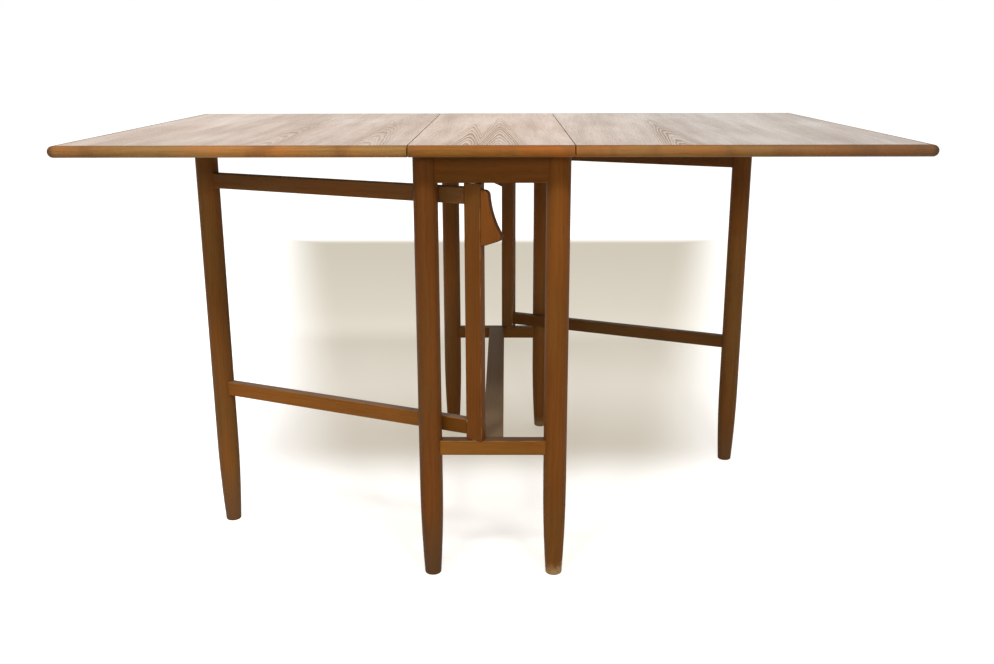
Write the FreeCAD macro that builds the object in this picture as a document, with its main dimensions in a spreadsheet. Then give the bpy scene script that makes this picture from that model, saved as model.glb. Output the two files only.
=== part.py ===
import FreeCAD, Part
import os
from collections import namedtuple

import Sketcher

# Drop-leaf gateleg dining table, leaves up and both gates swung out.
# X runs along the opened top, Y from the front end to the rear end, Z up from the floor.
# The table is the same after half a turn about Z, so each pair of like pieces is built
# once and placed twice.

Vector = FreeCAD.Vector

# Driving sizes in millimetres, angles in degrees
SIZES = [
    ("top_height", 720.0, "floor to the upper face of the top"),
    ("top_thickness", 17.5, "thickness of the top and of its lippings"),
    ("table_depth", 820.0, "front edge to rear edge"),
    ("centre_width", 246.1, "width of the fixed middle of the top"),
    ("leaf_length", 531.65, "joint edge to outer edge of a leaf"),
    ("joint_gap", 1.4, "open joint between a leaf and the middle"),
    ("lipping_width", 12.0, "solid edge strip on the outer edges"),
    ("joint_lipping_width", 8.0, "solid edge strip on the joint edges"),
    ("leg_radius", 19.0, "round leg above its taper"),
    ("foot_radius", 13.6, "round leg at the floor"),
    ("foot_rounding", 2.5, "softened edge of the foot"),
    ("taper_height", 165.0, "floor to the start of the taper"),
    ("leg_inset_x", 21.0, "frame leg axis from the joint edge of the middle"),
    ("leg_inset_y", 56.0, "frame leg axis from the front or rear edge"),
    ("apron_height", 42.4, "end rail under the top"),
    ("apron_thickness", 24.0, "end rail, front to back"),
    ("apron_tenon_thickness", 9.0, "tenon of the end rail"),
    ("apron_tenon_shoulder", 6.0, "end rail above and below its tenon"),
    ("stretcher_top", 241.0, "floor to the upper face of the low stretchers"),
    ("stretcher_height", 25.0, "low cross stretcher, top to bottom"),
    ("stretcher_thickness", 20.0, "low cross stretcher, front to back"),
    ("stretcher_tenon_thickness", 8.0, "tenon of the cross stretcher"),
    ("stretcher_tenon_shoulder", 5.0, "cross stretcher above and below its tenon"),
    ("frame_tenon_depth", 20.0, "tenon depth in a frame leg"),
    ("spine_width", 34.0, "long stretcher board, side to side"),
    ("spine_thickness", 20.0, "long stretcher board, top to bottom"),
    ("spine_tenon_depth", 10.0, "long stretcher tenon in a cross stretcher"),
    ("spine_tenon_shoulder", 6.0, "long stretcher around its tenon"),
    ("gate_pivot_x", 27.5, "gate post axis from the middle, along X"),
    ("gate_angle", 23.7, "gate plane from the X axis when swung out"),
    ("gate_reach", 510.5, "gate post axis to gate leg axis"),
    ("post_width", 28.0, "gate post in the plane of the gate"),
    ("post_thickness", 17.0, "gate post across the gate"),
    ("rail_thickness", 16.0, "gate rails across the gate"),
    ("upper_rail_height", 26.0, "gate upper rail"),
    ("upper_rail_drop", 7.5, "end rail to gate upper rail"),
    ("lower_rail_height", 25.5, "gate lower rail"),
    ("lower_rail_lift", 9.0, "cross stretcher to gate lower rail"),
    ("rail_tenon_thickness", 7.0, "tenon of a gate rail"),
    ("rail_tenon_shoulder", 6.0, "gate rail above and below its tenon"),
    ("post_tenon_depth", 8.0, "gate rail tenon in the post"),
    ("gate_leg_tenon_depth", 18.0, "gate rail tenon in the gate leg"),
    ("pivot_pin_radius", 4.0, "steel pin that the post turns on"),
    ("pivot_pin_seat", 16.0, "pin length fixed in the frame"),
    ("pivot_pin_reach", 18.0, "pin length inside the post"),
    ("washer_radius", 8.0, "steel washer between post and frame"),
    ("washer_thickness", 1.0, "steel washer"),
    ("handle_drop", 10.2, "end rail to the top of the handle"),
    ("handle_height", 88.3, "wing-shaped handle on the post"),
    ("handle_top_width", 13.0, "handle at its top"),
    ("handle_tip_width", 38.8, "handle at its lower point, before rounding"),
    ("handle_tip_rise", 14.0, "lower point above the foot of the handle"),
    ("handle_hollow_radius", 125.0, "hollow outer edge of the handle"),
    ("handle_tip_rounding", 8.0, "rounded lower point"),
    ("handle_top_rounding", 8.5, "rounded upper corner"),
    ("handle_thickness", 12.0, "handle across the gate"),
    ("handle_inset", 0.5, "handle behind the outer face of the post"),
    ("handle_edge_rounding", 2.5, "softened edges of the handle"),
    ("dowel_radius", 3.0, "dowels between handle and post"),
    ("dowel_depth", 10.0, "dowel length in each piece"),
    ("dowel_low", 20.0, "lower dowel above the foot of the handle"),
    ("dowel_high", 60.0, "upper dowel above the foot of the handle"),
    ("hinge_inset", 120.0, "hinge centre from the front or rear edge"),
    ("hinge_length", 60.0, "steel back-flap hinge along its pin"),
    ("flap_thickness", 1.6, "hinge flap plate"),
    ("knuckle_radius", 3.2, "hinge knuckle"),
    ("hinge_pin_radius", 1.6, "hinge pin"),
    ("knuckle_clearance", 0.4, "hinge knuckle below the top"),
    ("knuckle_gap", 0.3, "side play between knuckles"),
    ("flap_corner_rounding", 3.0, "outer corners of a hinge flap"),
    ("screw_edge", 4.5, "joint lipping to the first row of hinge screws"),
    ("screw_row_gap", 8.5, "between the two rows of hinge screws"),
    ("flap_border", 5.5, "outer row of screws to the flap's edge"),
    ("screw_spread", 20.0, "hinge screws from the hinge's middle, along Y"),
    ("screw_radius", 1.75, "shank of the hinge and stop screws"),
    ("screw_head_radius", 3.2, "countersunk head of the hinge and stop screws"),
    ("hinge_screw_length", 12.0, "hinge screw, head to point"),
    ("stop_length", 50.0, "stop block along the gate"),
    ("stop_width", 16.0, "stop block across the gate"),
    ("stop_height", 12.0, "stop block below the leaf"),
    ("stop_screw_spread", 15.0, "stop screws from the middle of the block"),
    ("stop_screw_length", 20.0, "stop screw, head to point"),
    ("block_length", 110.0, "fixing block along the end rail"),
    ("block_width", 22.0, "fixing block, front to back"),
    ("block_height", 24.0, "fixing block below the top"),
    ("fixing_spread", 38.0, "top fixing screws from the middle, along X"),
    ("fixing_screw_radius", 2.25, "shank of the top fixing screws"),
    ("fixing_head_radius", 4.2, "countersunk head of the top fixing screws"),
    ("fixing_screw_length", 34.0, "top fixing screw, head to point"),
    ("countersink_angle", 90.0, "full angle under a countersunk screw head"),
    ("screw_point", 4.0, "pointed end of a screw"),
    ("screw_tip_radius", 0.2, "blunt tip of a screw"),
    ("rail_rounding", 2.0, "softened long edges of rails, posts and stretchers"),
    ("glue_gap", 0.05, "room for glue around tenons and dowels"),
    ("end_gap", 0.5, "room past the end of tenons, dowels, pins and screws"),
    ("screw_gap", 0.05, "room around a screw"),
    ("seat_gap", 0.02, "fixed pin in its hole"),
    ("running_gap", 0.06, "turning pin in its bore"),
    ("lift_gap", 0.3, "gate below the top and below the end rail"),
    ("stop_gap", 0.5, "gate leg to its stop block"),
    ("swing_gap", 0.4, "hinge flap to the other flap's knuckles"),
]

doc = FreeCAD.newDocument("gateleg_table")
sheet = doc.addObject("Spreadsheet::Sheet", "Sizes")
for row, (alias, value, note) in enumerate(SIZES, start=1):
    sheet.set(f"A{row}", note)
    sheet.set(f"B{row}", str(value))
    sheet.setAlias(f"B{row}", alias)
doc.recompute()

# Heights and distances that several pieces share, as expressions of the sheet
UNDERSIDE = "(Sizes.top_height - Sizes.top_thickness)"
EDGE_RADIUS = "(Sizes.top_thickness / 2)"
HALF_DEPTH = "(Sizes.table_depth / 2)"
PANEL_Y = f"({HALF_DEPTH} - Sizes.lipping_width)"
CENTRE_X = "(Sizes.centre_width / 2)"
JOINT_X = f"({CENTRE_X} + Sizes.joint_gap / 2)"
LEAF_INNER_X = f"({CENTRE_X} + Sizes.joint_gap)"
LEAF_OUTER_X = f"({LEAF_INNER_X} + Sizes.leaf_length)"
LEG_X = f"({CENTRE_X} - Sizes.leg_inset_x)"
LEG_Y = f"({HALF_DEPTH} - Sizes.leg_inset_y)"
HINGE_Y = f"({HALF_DEPTH} - Sizes.hinge_inset)"
APRON_BOTTOM = f"({UNDERSIDE} - Sizes.apron_height)"
STRETCHER_BOTTOM = "(Sizes.stretcher_top - Sizes.stretcher_height)"
HINGE_DROP = "(Sizes.knuckle_radius + Sizes.knuckle_clearance)"
POST_FACE = "(Sizes.post_width / 2)"
POST_BOTTOM = "(Sizes.stretcher_top + Sizes.washer_thickness)"
POST_TOP = f"({APRON_BOTTOM} - Sizes.washer_thickness - Sizes.lift_gap)"
UPPER_RAIL_TOP = f"({APRON_BOTTOM} - Sizes.upper_rail_drop)"
UPPER_RAIL_BOTTOM = f"({UPPER_RAIL_TOP} - Sizes.upper_rail_height)"
LOWER_RAIL_BOTTOM = "(Sizes.stretcher_top + Sizes.lower_rail_lift)"
LOWER_RAIL_TOP = f"({LOWER_RAIL_BOTTOM} + Sizes.lower_rail_height)"
HANDLE_TOP = f"({APRON_BOTTOM} - Sizes.handle_drop)"
HANDLE_FOOT = f"({HANDLE_TOP} - Sizes.handle_height)"
HANDLE_Y = "((Sizes.post_thickness - Sizes.handle_thickness) / 2 - Sizes.handle_inset)"
STOP_Y = "(Sizes.leg_radius + Sizes.stop_gap + Sizes.stop_width / 2)"

HALF_ROUND = "half round"
EIGHTH_TURN = 45
FULL_TURN = 360
TOUCHING = 1e-6
SMALLEST_CUT = 1e-3
Place = namedtuple("Place", "x y z angle", defaults=("0", "0", "0", "0"))
sub_parts = []
cuts = []


def number(expression):
    """Value of an expression of the sheet, as the first guess for a sketch."""
    return float(sheet.evalExpression(expression))


def new_body(label, place=Place()):
    """Empty body with its name and its place in the table."""
    body = doc.addObject("PartDesign::Body", label)
    body.Label = label
    body.setExpression("Placement.Base.x", place.x)
    body.setExpression("Placement.Base.y", place.y)
    body.setExpression("Placement.Base.z", place.z)
    body.setExpression("Placement.Rotation.Angle", place.angle)
    sub_parts.append(body)
    return body


def origin_feature(body, role):
    """Plane or axis of the body's own origin."""
    return next(item for item in body.Origin.OriginFeatures if item.Role == role)


def new_sketch(body, plane, offset="0", shift="0"):
    """Sketch on an origin plane, moved along its normal and along its own x axis."""
    sketch = body.newObject("Sketcher::SketchObject", f"{body.Name}_sketch")
    sketch.AttachmentSupport = (origin_feature(body, plane), [""])
    sketch.MapMode = "FlatFace"
    sketch.setExpression("AttachmentOffset.Base.z", offset)
    sketch.setExpression("AttachmentOffset.Base.x", shift)
    return sketch


def hold_value(sketch, constraint, expression):
    """Adds a constraint whose value follows an expression."""
    index = sketch.addConstraint(constraint)
    sketch.setExpression(f"Constraints[{index}]", expression)


def pin(sketch, geometry, point, x, y):
    """Holds a point of a sketch at x and y, measured from the sketch's origin."""
    for kind, value, axis in (("DistanceX", x, -2), ("DistanceY", y, -1)):
        if value == "0":
            sketch.addConstraint(Sketcher.Constraint("PointOnObject", geometry, point, axis))
        else:
            constraint = Sketcher.Constraint(kind, -1, 1, geometry, point, number(value))
            hold_value(sketch, constraint, value)


def rectangle(sketch, left, bottom, right, top):
    """Rectangle held by two opposite corners."""
    low_x, low_y, high_x, high_y = (number(value) for value in (left, bottom, right, top))
    corners = [
        Vector(low_x, low_y, 0),
        Vector(high_x, low_y, 0),
        Vector(high_x, high_y, 0),
        Vector(low_x, high_y, 0),
    ]
    sides = []
    for start, end in zip(corners, corners[1:] + corners[:1]):
        sides.append(sketch.addGeometry(Part.LineSegment(start, end)))
    for side, following in zip(sides, sides[1:] + sides[:1]):
        sketch.addConstraint(Sketcher.Constraint("Coincident", side, 2, following, 1))
    for side, kind in zip(sides, ("Horizontal", "Vertical") * 2):
        sketch.addConstraint(Sketcher.Constraint(kind, side))
    pin(sketch, sides[0], 1, left, bottom)
    pin(sketch, sides[2], 1, right, top)


def circles(sketch, centres, radius):
    """Circles of one radius."""
    for x, y in centres:
        centre = Vector(number(x), number(y), 0)
        circle = sketch.addGeometry(Part.Circle(centre, Vector(0, 0, 1), number(radius)))
        pin(sketch, circle, 3, x, y)
        hold_value(sketch, Sketcher.Constraint("Radius", circle, number(radius)), radius)


def outline(sketch, corners, arcs):
    """Closed outline through corners. arcs gives the radius of each edge that is an arc, by the
    number of the corner where it starts: a left turn, or a half circle where it is HALF_ROUND."""
    points = [Vector(number(x), number(y), 0) for x, y in corners]
    edges = []
    for index, (start, end) in enumerate(zip(points, points[1:] + points[:1])):
        if index not in arcs:
            edges.append(sketch.addGeometry(Part.LineSegment(start, end)))
            continue
        chord = end - start
        half_chord = chord.Length / 2
        radius = half_chord if arcs[index] == HALF_ROUND else number(arcs[index])
        left = Vector(-chord.y, chord.x, 0).normalize()
        centre = start + chord * 0.5 + left * (radius ** 2 - half_chord ** 2) ** 0.5
        circle = Part.Circle(centre, Vector(0, 0, 1), radius)
        angles = [circle.parameter(point) for point in (start, end)]
        edges.append(sketch.addGeometry(Part.ArcOfCircle(circle, *angles)))
        if arcs[index] == HALF_ROUND:
            sketch.addConstraint(Sketcher.Constraint("Vertical", edges[-1], 3, edges[-1], 1))
        else:
            hold_value(sketch, Sketcher.Constraint("Radius", edges[-1], radius), arcs[index])
    for edge, following in zip(edges, edges[1:] + edges[:1]):
        sketch.addConstraint(Sketcher.Constraint("Coincident", edge, 2, following, 1))
    for edge, (x, y) in zip(edges, corners):
        pin(sketch, edge, 1, x, y)


def pad(body, sketch, length, both_ways=False):
    """Adds the sketch's area over a length along its normal, or half to each side."""
    feature = body.newObject("PartDesign::Pad", f"{body.Name}_pad")
    feature.Profile = sketch
    feature.setExpression("Length", length)
    if both_ways:
        feature.SideType = "Symmetric"
    return feature


def pocket(body, sketch, depth=None, along_normal=False, both_ways=False):
    """Cuts the sketch's area against its normal, or along it, to a depth or right through."""
    feature = body.newObject("PartDesign::Pocket", f"{body.Name}_pocket")
    feature.Profile = sketch
    feature.Reversed = along_normal
    if both_ways:
        feature.SideType = "Symmetric"
    if depth is None:
        feature.Type = "ThroughAll"
    else:
        feature.setExpression("Length", depth)
    cuts.append(feature)
    return feature


def fillet(body, feature, radius, wanted):
    """Rounds the edges of a feature that answer a test."""
    doc.recompute()
    names = [f"Edge{index}" for index, edge in enumerate(feature.Shape.Edges, start=1) if wanted(edge)]
    rounding = body.newObject("PartDesign::Fillet", f"{body.Name}_fillet")
    rounding.Base = (feature, names)
    rounding.setExpression("Radius", radius)
    return rounding


def runs_along(axis):
    """Test for straight edges along one axis, given as a vector."""
    def test(edge):
        run = edge.Vertexes[-1].Point - edge.Vertexes[0].Point
        return run.Length > TOUCHING and run.cross(axis).Length < TOUCHING
    return test


def screw_group(label, place, centres, head_height, radius, head_radius, length):
    """Countersunk wood screws driven upwards, as separate solids of one sub-part."""
    body = new_body(label, place)
    heads = new_sketch(body, "XY_Plane", head_height)
    circles(heads, centres, head_radius)
    head = pad(body, heads, f"({head_radius} - {radius}) / tan(Sizes.countersink_angle / 2)")
    head.setExpression("TaperAngle", "-Sizes.countersink_angle / 2")
    shanks = new_sketch(body, "XY_Plane", head_height)
    circles(shanks, centres, radius)
    pad(body, shanks, f"{length} - Sizes.screw_point")
    points = new_sketch(body, "XY_Plane", f"{head_height} + {length} - Sizes.screw_point")
    circles(points, centres, radius)
    point = pad(body, points, "Sizes.screw_point")
    narrowing = f"({radius} - Sizes.screw_tip_radius)"
    point.setExpression("TaperAngle", f"-atan({narrowing} / Sizes.screw_point)")
    return body


def pilot_holes(body, centres, bottom, radius, depth):
    """Holes bored upwards for the shanks of screws."""
    sketch = new_sketch(body, "XY_Plane", bottom)
    circles(sketch, centres, f"{radius} + Sizes.screw_gap")
    pocket(body, sketch, f"{depth} + Sizes.end_gap", along_normal=True)


def countersunk_holes(body, centres, bottom, radius, head_radius):
    """Through holes for screws, sunk for their heads on the lower side."""
    sketch = new_sketch(body, "XY_Plane", bottom)
    circles(sketch, centres, f"{radius} + Sizes.screw_gap")
    doc.recompute()
    hole = body.newObject("PartDesign::Hole", f"{body.Name}_hole")
    hole.Profile = sketch
    hole.Reversed = True
    hole.DepthType = "ThroughAll"
    hole.setExpression("Diameter", f"2 * ({radius} + Sizes.screw_gap)")
    hole.HoleCutType = "Countersink"
    hole.HoleCutCustomValues = True
    hole.setExpression("HoleCutCountersinkAngle", "Sizes.countersink_angle")
    hole.setExpression("HoleCutDiameter", f"2 * ({head_radius} + 2 * Sizes.screw_gap)")
    cuts.append(hole)


# Places of the pieces that come twice, half a turn apart

LEFT_GATE = Place("-Sizes.gate_pivot_x", f"-{LEG_Y}", "0", "180 - Sizes.gate_angle")
RIGHT_GATE = Place("Sizes.gate_pivot_x", LEG_Y, "0", "360 - Sizes.gate_angle")
FRONT_END = Place("0", f"-{LEG_Y}", "0", "0")
REAR_END = Place("0", LEG_Y, "0", "180")
RIGHT_LEAF = Place()
LEFT_LEAF = Place("0", "0", "0", "180")

# Screw positions, each from the middle of its own piece

HINGE_SCREW_NEAR = "(Sizes.joint_gap / 2 + Sizes.joint_lipping_width + Sizes.screw_edge)"
HINGE_SCREW_FAR = f"({HINGE_SCREW_NEAR} + Sizes.screw_row_gap)"
FLAP_WIDTH = f"({HINGE_SCREW_FAR} + Sizes.flap_border)"
FLAP_SCREWS = [
    (HINGE_SCREW_NEAR, "-Sizes.screw_spread"),
    (HINGE_SCREW_FAR, "0"),
    (HINGE_SCREW_NEAR, "Sizes.screw_spread"),
]
HINGE_ENDS = (f"-{HINGE_Y}", HINGE_Y)
LEAF_HINGE_SCREWS = [
    (f"{JOINT_X} + {x}", f"{end} + {y}") for end in HINGE_ENDS for x, y in FLAP_SCREWS
]
FRAME_HINGE_SCREWS = [
    (f"{side} * ({JOINT_X} - {x})", f"{end} + {y}")
    for side in ("1", "-1") for end in HINGE_ENDS for x, y in FLAP_SCREWS
]
HINGE_SCREW_GRIP = "(Sizes.hinge_screw_length - Sizes.flap_thickness)"
STOP_SCREWS = [
    (f"Sizes.gate_reach + {spread}", STOP_Y)
    for spread in ("Sizes.stop_screw_spread", "-Sizes.stop_screw_spread")
]
LEAF_STOP_SCREWS = [
    (
        f"Sizes.gate_pivot_x + cos(Sizes.gate_angle) * ({x}) + sin(Sizes.gate_angle) * {y}",
        f"{LEG_Y} - sin(Sizes.gate_angle) * ({x}) + cos(Sizes.gate_angle) * {y}",
    )
    for x, y in STOP_SCREWS
]
FIXING_Y = "(Sizes.apron_thickness / 2 + Sizes.block_width / 2)"
FIXING_SCREWS = [("-Sizes.fixing_spread", FIXING_Y), ("Sizes.fixing_spread", FIXING_Y)]
TOP_FIXING_SCREWS = [
    (f"{turn} * {x}", f"{turn} * ({y} - {LEG_Y})")
    for turn in ("1", "-1") for x, y in FIXING_SCREWS
]
FIXING_HEAD = f"({UNDERSIDE} - Sizes.block_height)"


# Table top: veneered boards with solid lippings

def board(label, place, left, right):
    """Flat board between the front and rear lippings."""
    body = new_body(label, place)
    sketch = new_sketch(body, "XY_Plane", UNDERSIDE)
    rectangle(sketch, left, f"-{PANEL_Y}", right, PANEL_Y)
    pad(body, sketch, "Sizes.top_thickness")
    return body


def lipping(label, angle, reach, start, end, corners):
    """Half-round edge strip along X, its round edge reach away on the -Y side. At a corner the
    strip is mitred and its round edge turns an eighth of a circle to meet its neighbour."""
    body = new_body(label, Place("0", "0", "0", angle))
    centre = f"({reach} - {EDGE_RADIUS})"
    inner = f"({reach} - Sizes.lipping_width)"
    sketch = new_sketch(body, "YZ_Plane", start)
    profile = [
        (f"-{inner}", UNDERSIDE),
        (f"-{inner}", "Sizes.top_height"),
        (f"-{centre}", "Sizes.top_height"),
        (f"-{centre}", UNDERSIDE),
    ]
    outline(sketch, profile, {2: HALF_ROUND})
    pad(body, sketch, f"{end} - {start}")
    for corner, turn in corners:
        flat = f"(Sizes.lipping_width - {EDGE_RADIUS})"
        mitre = new_sketch(body, "XY_Plane", UNDERSIDE)
        triangle = [
            (corner, f"-{centre}"),
            (corner, f"-{inner}"),
            (f"{corner} - {turn} * {flat}", f"-{inner}"),
        ]
        outline(mitre, triangle, {})
        pocket(body, mitre, "Sizes.top_thickness", along_normal=True)
        half_disc = new_sketch(body, "YZ_Plane", corner, f"-{centre}")
        outline(half_disc, [("0", "Sizes.top_height"), ("0", UNDERSIDE)], {0: HALF_ROUND})
        ball = body.newObject("PartDesign::Revolution", f"{body.Name}_ball")
        ball.Profile = half_disc
        ball.ReferenceAxis = (half_disc, ["V_Axis"])
        ball.Angle = EIGHTH_TURN
        ball.Reversed = turn == "-1"
    return body


centre_edge = f"({CENTRE_X} - Sizes.joint_lipping_width)"
centre_panel = board("centre_panel", Place(), f"-{centre_edge}", centre_edge)
pilot_holes(centre_panel, FRAME_HINGE_SCREWS, UNDERSIDE, "Sizes.screw_radius", HINGE_SCREW_GRIP)
fixing_grip = "(Sizes.fixing_screw_length - Sizes.block_height)"
pilot_holes(centre_panel, TOP_FIXING_SCREWS, UNDERSIDE, "Sizes.fixing_screw_radius", fixing_grip)
board("centre_left_lipping", Place(), f"-{CENTRE_X}", f"-{centre_edge}")
board("centre_right_lipping", Place(), centre_edge, CENTRE_X)
lipping("centre_front_lipping", "0", HALF_DEPTH, f"-{CENTRE_X}", CENTRE_X, [])
lipping("centre_rear_lipping", "180", HALF_DEPTH, f"-{CENTRE_X}", CENTRE_X, [])

LEAF_CORNER_X = f"({LEAF_OUTER_X} - {EDGE_RADIUS})"
LEAF_CORNER_Y = f"({HALF_DEPTH} - {EDGE_RADIUS})"
LEAF_PANEL_INNER_X = f"({LEAF_INNER_X} + Sizes.joint_lipping_width)"
LEAF_PANEL_OUTER_X = f"({LEAF_OUTER_X} - Sizes.lipping_width)"


def leaf(side, place, near_edge, far_edge):
    """Board and four lippings of one leaf, drawn on the +X side and turned into place."""
    panel = board(f"{side}_leaf_panel", place, LEAF_PANEL_INNER_X, LEAF_PANEL_OUTER_X)
    pilot_holes(panel, LEAF_HINGE_SCREWS, UNDERSIDE, "Sizes.screw_radius", HINGE_SCREW_GRIP)
    stop_grip = "(Sizes.stop_screw_length - Sizes.stop_height)"
    pilot_holes(panel, LEAF_STOP_SCREWS, UNDERSIDE, "Sizes.screw_radius", stop_grip)
    board(f"{side}_leaf_joint_lipping", place, LEAF_INNER_X, LEAF_PANEL_INNER_X)
    lipping(
        f"{side}_leaf_{near_edge}_lipping", place.angle, HALF_DEPTH,
        LEAF_INNER_X, LEAF_CORNER_X, [(LEAF_CORNER_X, "1")],
    )
    lipping(
        f"{side}_leaf_{far_edge}_lipping", f"{place.angle} + 180", HALF_DEPTH,
        f"-{LEAF_CORNER_X}", f"-{LEAF_INNER_X}", [(f"-{LEAF_CORNER_X}", "-1")],
    )
    lipping(
        f"{side}_leaf_outer_lipping", f"{place.angle} + 90", LEAF_OUTER_X,
        f"-{LEAF_CORNER_Y}", LEAF_CORNER_Y, [(f"-{LEAF_CORNER_Y}", "-1"), (LEAF_CORNER_Y, "1")],
    )


leaf("left", LEFT_LEAF, "rear", "front")
leaf("right", RIGHT_LEAF, "front", "rear")


# Round legs, turned with a convex taper to the foot

def leg(label, place, axis_x, top, mortises, tenon_depth):
    """Turned leg about a vertical axis, with mortises cut in from its -X side. Each mortise has
    the tenon's thickness, its lower end and its upper end."""
    body = new_body(label, place)
    half = new_sketch(body, "XZ_Plane", "0", axis_x)
    taper = "(Sizes.leg_radius - Sizes.foot_radius)"
    profile = [
        ("0", "0"),
        ("Sizes.foot_radius", "0"),
        ("Sizes.leg_radius", "Sizes.taper_height"),
        ("Sizes.leg_radius", top),
        ("0", top),
    ]
    taper_radius = f"({taper} ^ 2 + Sizes.taper_height ^ 2) / (2 * {taper})"
    outline(half, profile, {1: taper_radius})
    turned = body.newObject("PartDesign::Revolution", f"{body.Name}_turning")
    turned.Profile = half
    turned.ReferenceAxis = (half, ["V_Axis"])
    turned.Angle = FULL_TURN
    fillet(body, turned, "Sizes.foot_rounding", is_floor_edge)
    for thickness, bottom, upper in mortises:
        depth = f"{axis_x} - Sizes.leg_radius + {tenon_depth} + Sizes.end_gap"
        sketch = new_sketch(body, "YZ_Plane", depth)
        reach = f"({thickness} / 2 + Sizes.glue_gap)"
        rectangle(
            sketch, f"-{reach}", f"{bottom} - Sizes.glue_gap", reach, f"{upper} + Sizes.glue_gap",
        )
        pocket(body, sketch)
    return body


def is_floor_edge(edge):
    """Test for the round edge that lies on the floor."""
    return edge.BoundBox.ZMax < TOUCHING


FRAME_MORTISES = [
    (
        "Sizes.apron_tenon_thickness",
        f"{APRON_BOTTOM} + Sizes.apron_tenon_shoulder",
        f"{UNDERSIDE} - Sizes.apron_tenon_shoulder",
    ),
    (
        "Sizes.stretcher_tenon_thickness",
        f"{STRETCHER_BOTTOM} + Sizes.stretcher_tenon_shoulder",
        "Sizes.stretcher_top - Sizes.stretcher_tenon_shoulder",
    ),
]
for end, y in (("front", f"-{LEG_Y}"), ("rear", LEG_Y)):
    for side, x, angle in (("left", f"-{LEG_X}", "180"), ("right", LEG_X, "0")):
        place = Place(x, y, "0", angle)
        leg(f"{end}_{side}_leg", place, "0", UNDERSIDE, FRAME_MORTISES, "Sizes.frame_tenon_depth")


# End frames: an end rail under the top and a low cross stretcher between two legs

def cross_rail(label, place, thickness, bottom, top, tenon_thickness, shoulder):
    """Rail along X between two round legs, scribed to them and tenoned into them."""
    body = new_body(label, place)
    block = new_sketch(body, "XY_Plane", bottom)
    rectangle(block, f"-{LEG_X}", f"-{thickness} / 2", LEG_X, f"{thickness} / 2")
    length = pad(body, block, f"{top} - {bottom}")
    fillet(body, length, "Sizes.rail_rounding", runs_along(Vector(1, 0, 0)))
    scribe = new_sketch(body, "XY_Plane", bottom)
    circles(scribe, [(f"-{LEG_X}", "0"), (LEG_X, "0")], "Sizes.leg_radius + Sizes.glue_gap")
    pocket(body, scribe, f"{top} - {bottom}", along_normal=True)
    tenon = new_sketch(body, "XY_Plane", f"{bottom} + {shoulder}")
    tip = f"({LEG_X} - Sizes.leg_radius + Sizes.frame_tenon_depth)"
    rectangle(tenon, f"-{tip}", f"-{tenon_thickness} / 2", tip, f"{tenon_thickness} / 2")
    pad(body, tenon, f"{top} - {bottom} - 2 * {shoulder}")
    return body


def pin_hole(body, height, along_normal):
    """Blind hole for the fixed end of a gate pivot pin."""
    sketch = new_sketch(body, "XY_Plane", height)
    circles(sketch, [("-Sizes.gate_pivot_x", "0")], "Sizes.pivot_pin_radius + Sizes.seat_gap")
    pocket(body, sketch, "Sizes.pivot_pin_seat + Sizes.end_gap", along_normal=along_normal)


for end, place in (("front", FRONT_END), ("rear", REAR_END)):
    apron = cross_rail(
        f"{end}_apron", place, "Sizes.apron_thickness", APRON_BOTTOM, UNDERSIDE,
        "Sizes.apron_tenon_thickness", "Sizes.apron_tenon_shoulder",
    )
    pin_hole(apron, APRON_BOTTOM, along_normal=True)
    stretcher = cross_rail(
        f"{end}_stretcher", place, "Sizes.stretcher_thickness", STRETCHER_BOTTOM,
        "Sizes.stretcher_top", "Sizes.stretcher_tenon_thickness", "Sizes.stretcher_tenon_shoulder",
    )
    pin_hole(stretcher, "Sizes.stretcher_top", along_normal=False)
    mortise = new_sketch(
        stretcher, "XZ_Plane",
        "-(Sizes.stretcher_thickness / 2 - Sizes.spine_tenon_depth - Sizes.end_gap)",
    )
    reach = "(Sizes.spine_width / 2 - Sizes.spine_tenon_shoulder + Sizes.glue_gap)"
    rectangle(
        mortise, f"-{reach}",
        "Sizes.stretcher_top - Sizes.spine_thickness + Sizes.spine_tenon_shoulder - Sizes.glue_gap",
        reach, "Sizes.stretcher_top - Sizes.spine_tenon_shoulder + Sizes.glue_gap",
    )
    pocket(stretcher, mortise)


# Long stretcher: a flat board between the two cross stretchers

spine = new_body("long_stretcher")
spine_end = f"({LEG_Y} - Sizes.stretcher_thickness / 2)"
spine_bottom = "(Sizes.stretcher_top - Sizes.spine_thickness)"
spine_side = "(Sizes.spine_width / 2)"
section = new_sketch(spine, "XZ_Plane")
rectangle(section, f"-{spine_side}", spine_bottom, spine_side, "Sizes.stretcher_top")
spine_length = pad(spine, section, f"2 * {spine_end}", both_ways=True)
fillet(spine, spine_length, "Sizes.rail_rounding", runs_along(Vector(0, 1, 0)))
tenon_section = new_sketch(spine, "XZ_Plane")
rectangle(
    tenon_section, f"-({spine_side} - Sizes.spine_tenon_shoulder)",
    f"{spine_bottom} + Sizes.spine_tenon_shoulder", f"{spine_side} - Sizes.spine_tenon_shoulder",
    "Sizes.stretcher_top - Sizes.spine_tenon_shoulder",
)
pad(spine, tenon_section, f"2 * ({spine_end} + Sizes.spine_tenon_depth)", both_ways=True)


# Fixing blocks glued inside the end rails, and the screws that hold the top down

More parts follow.
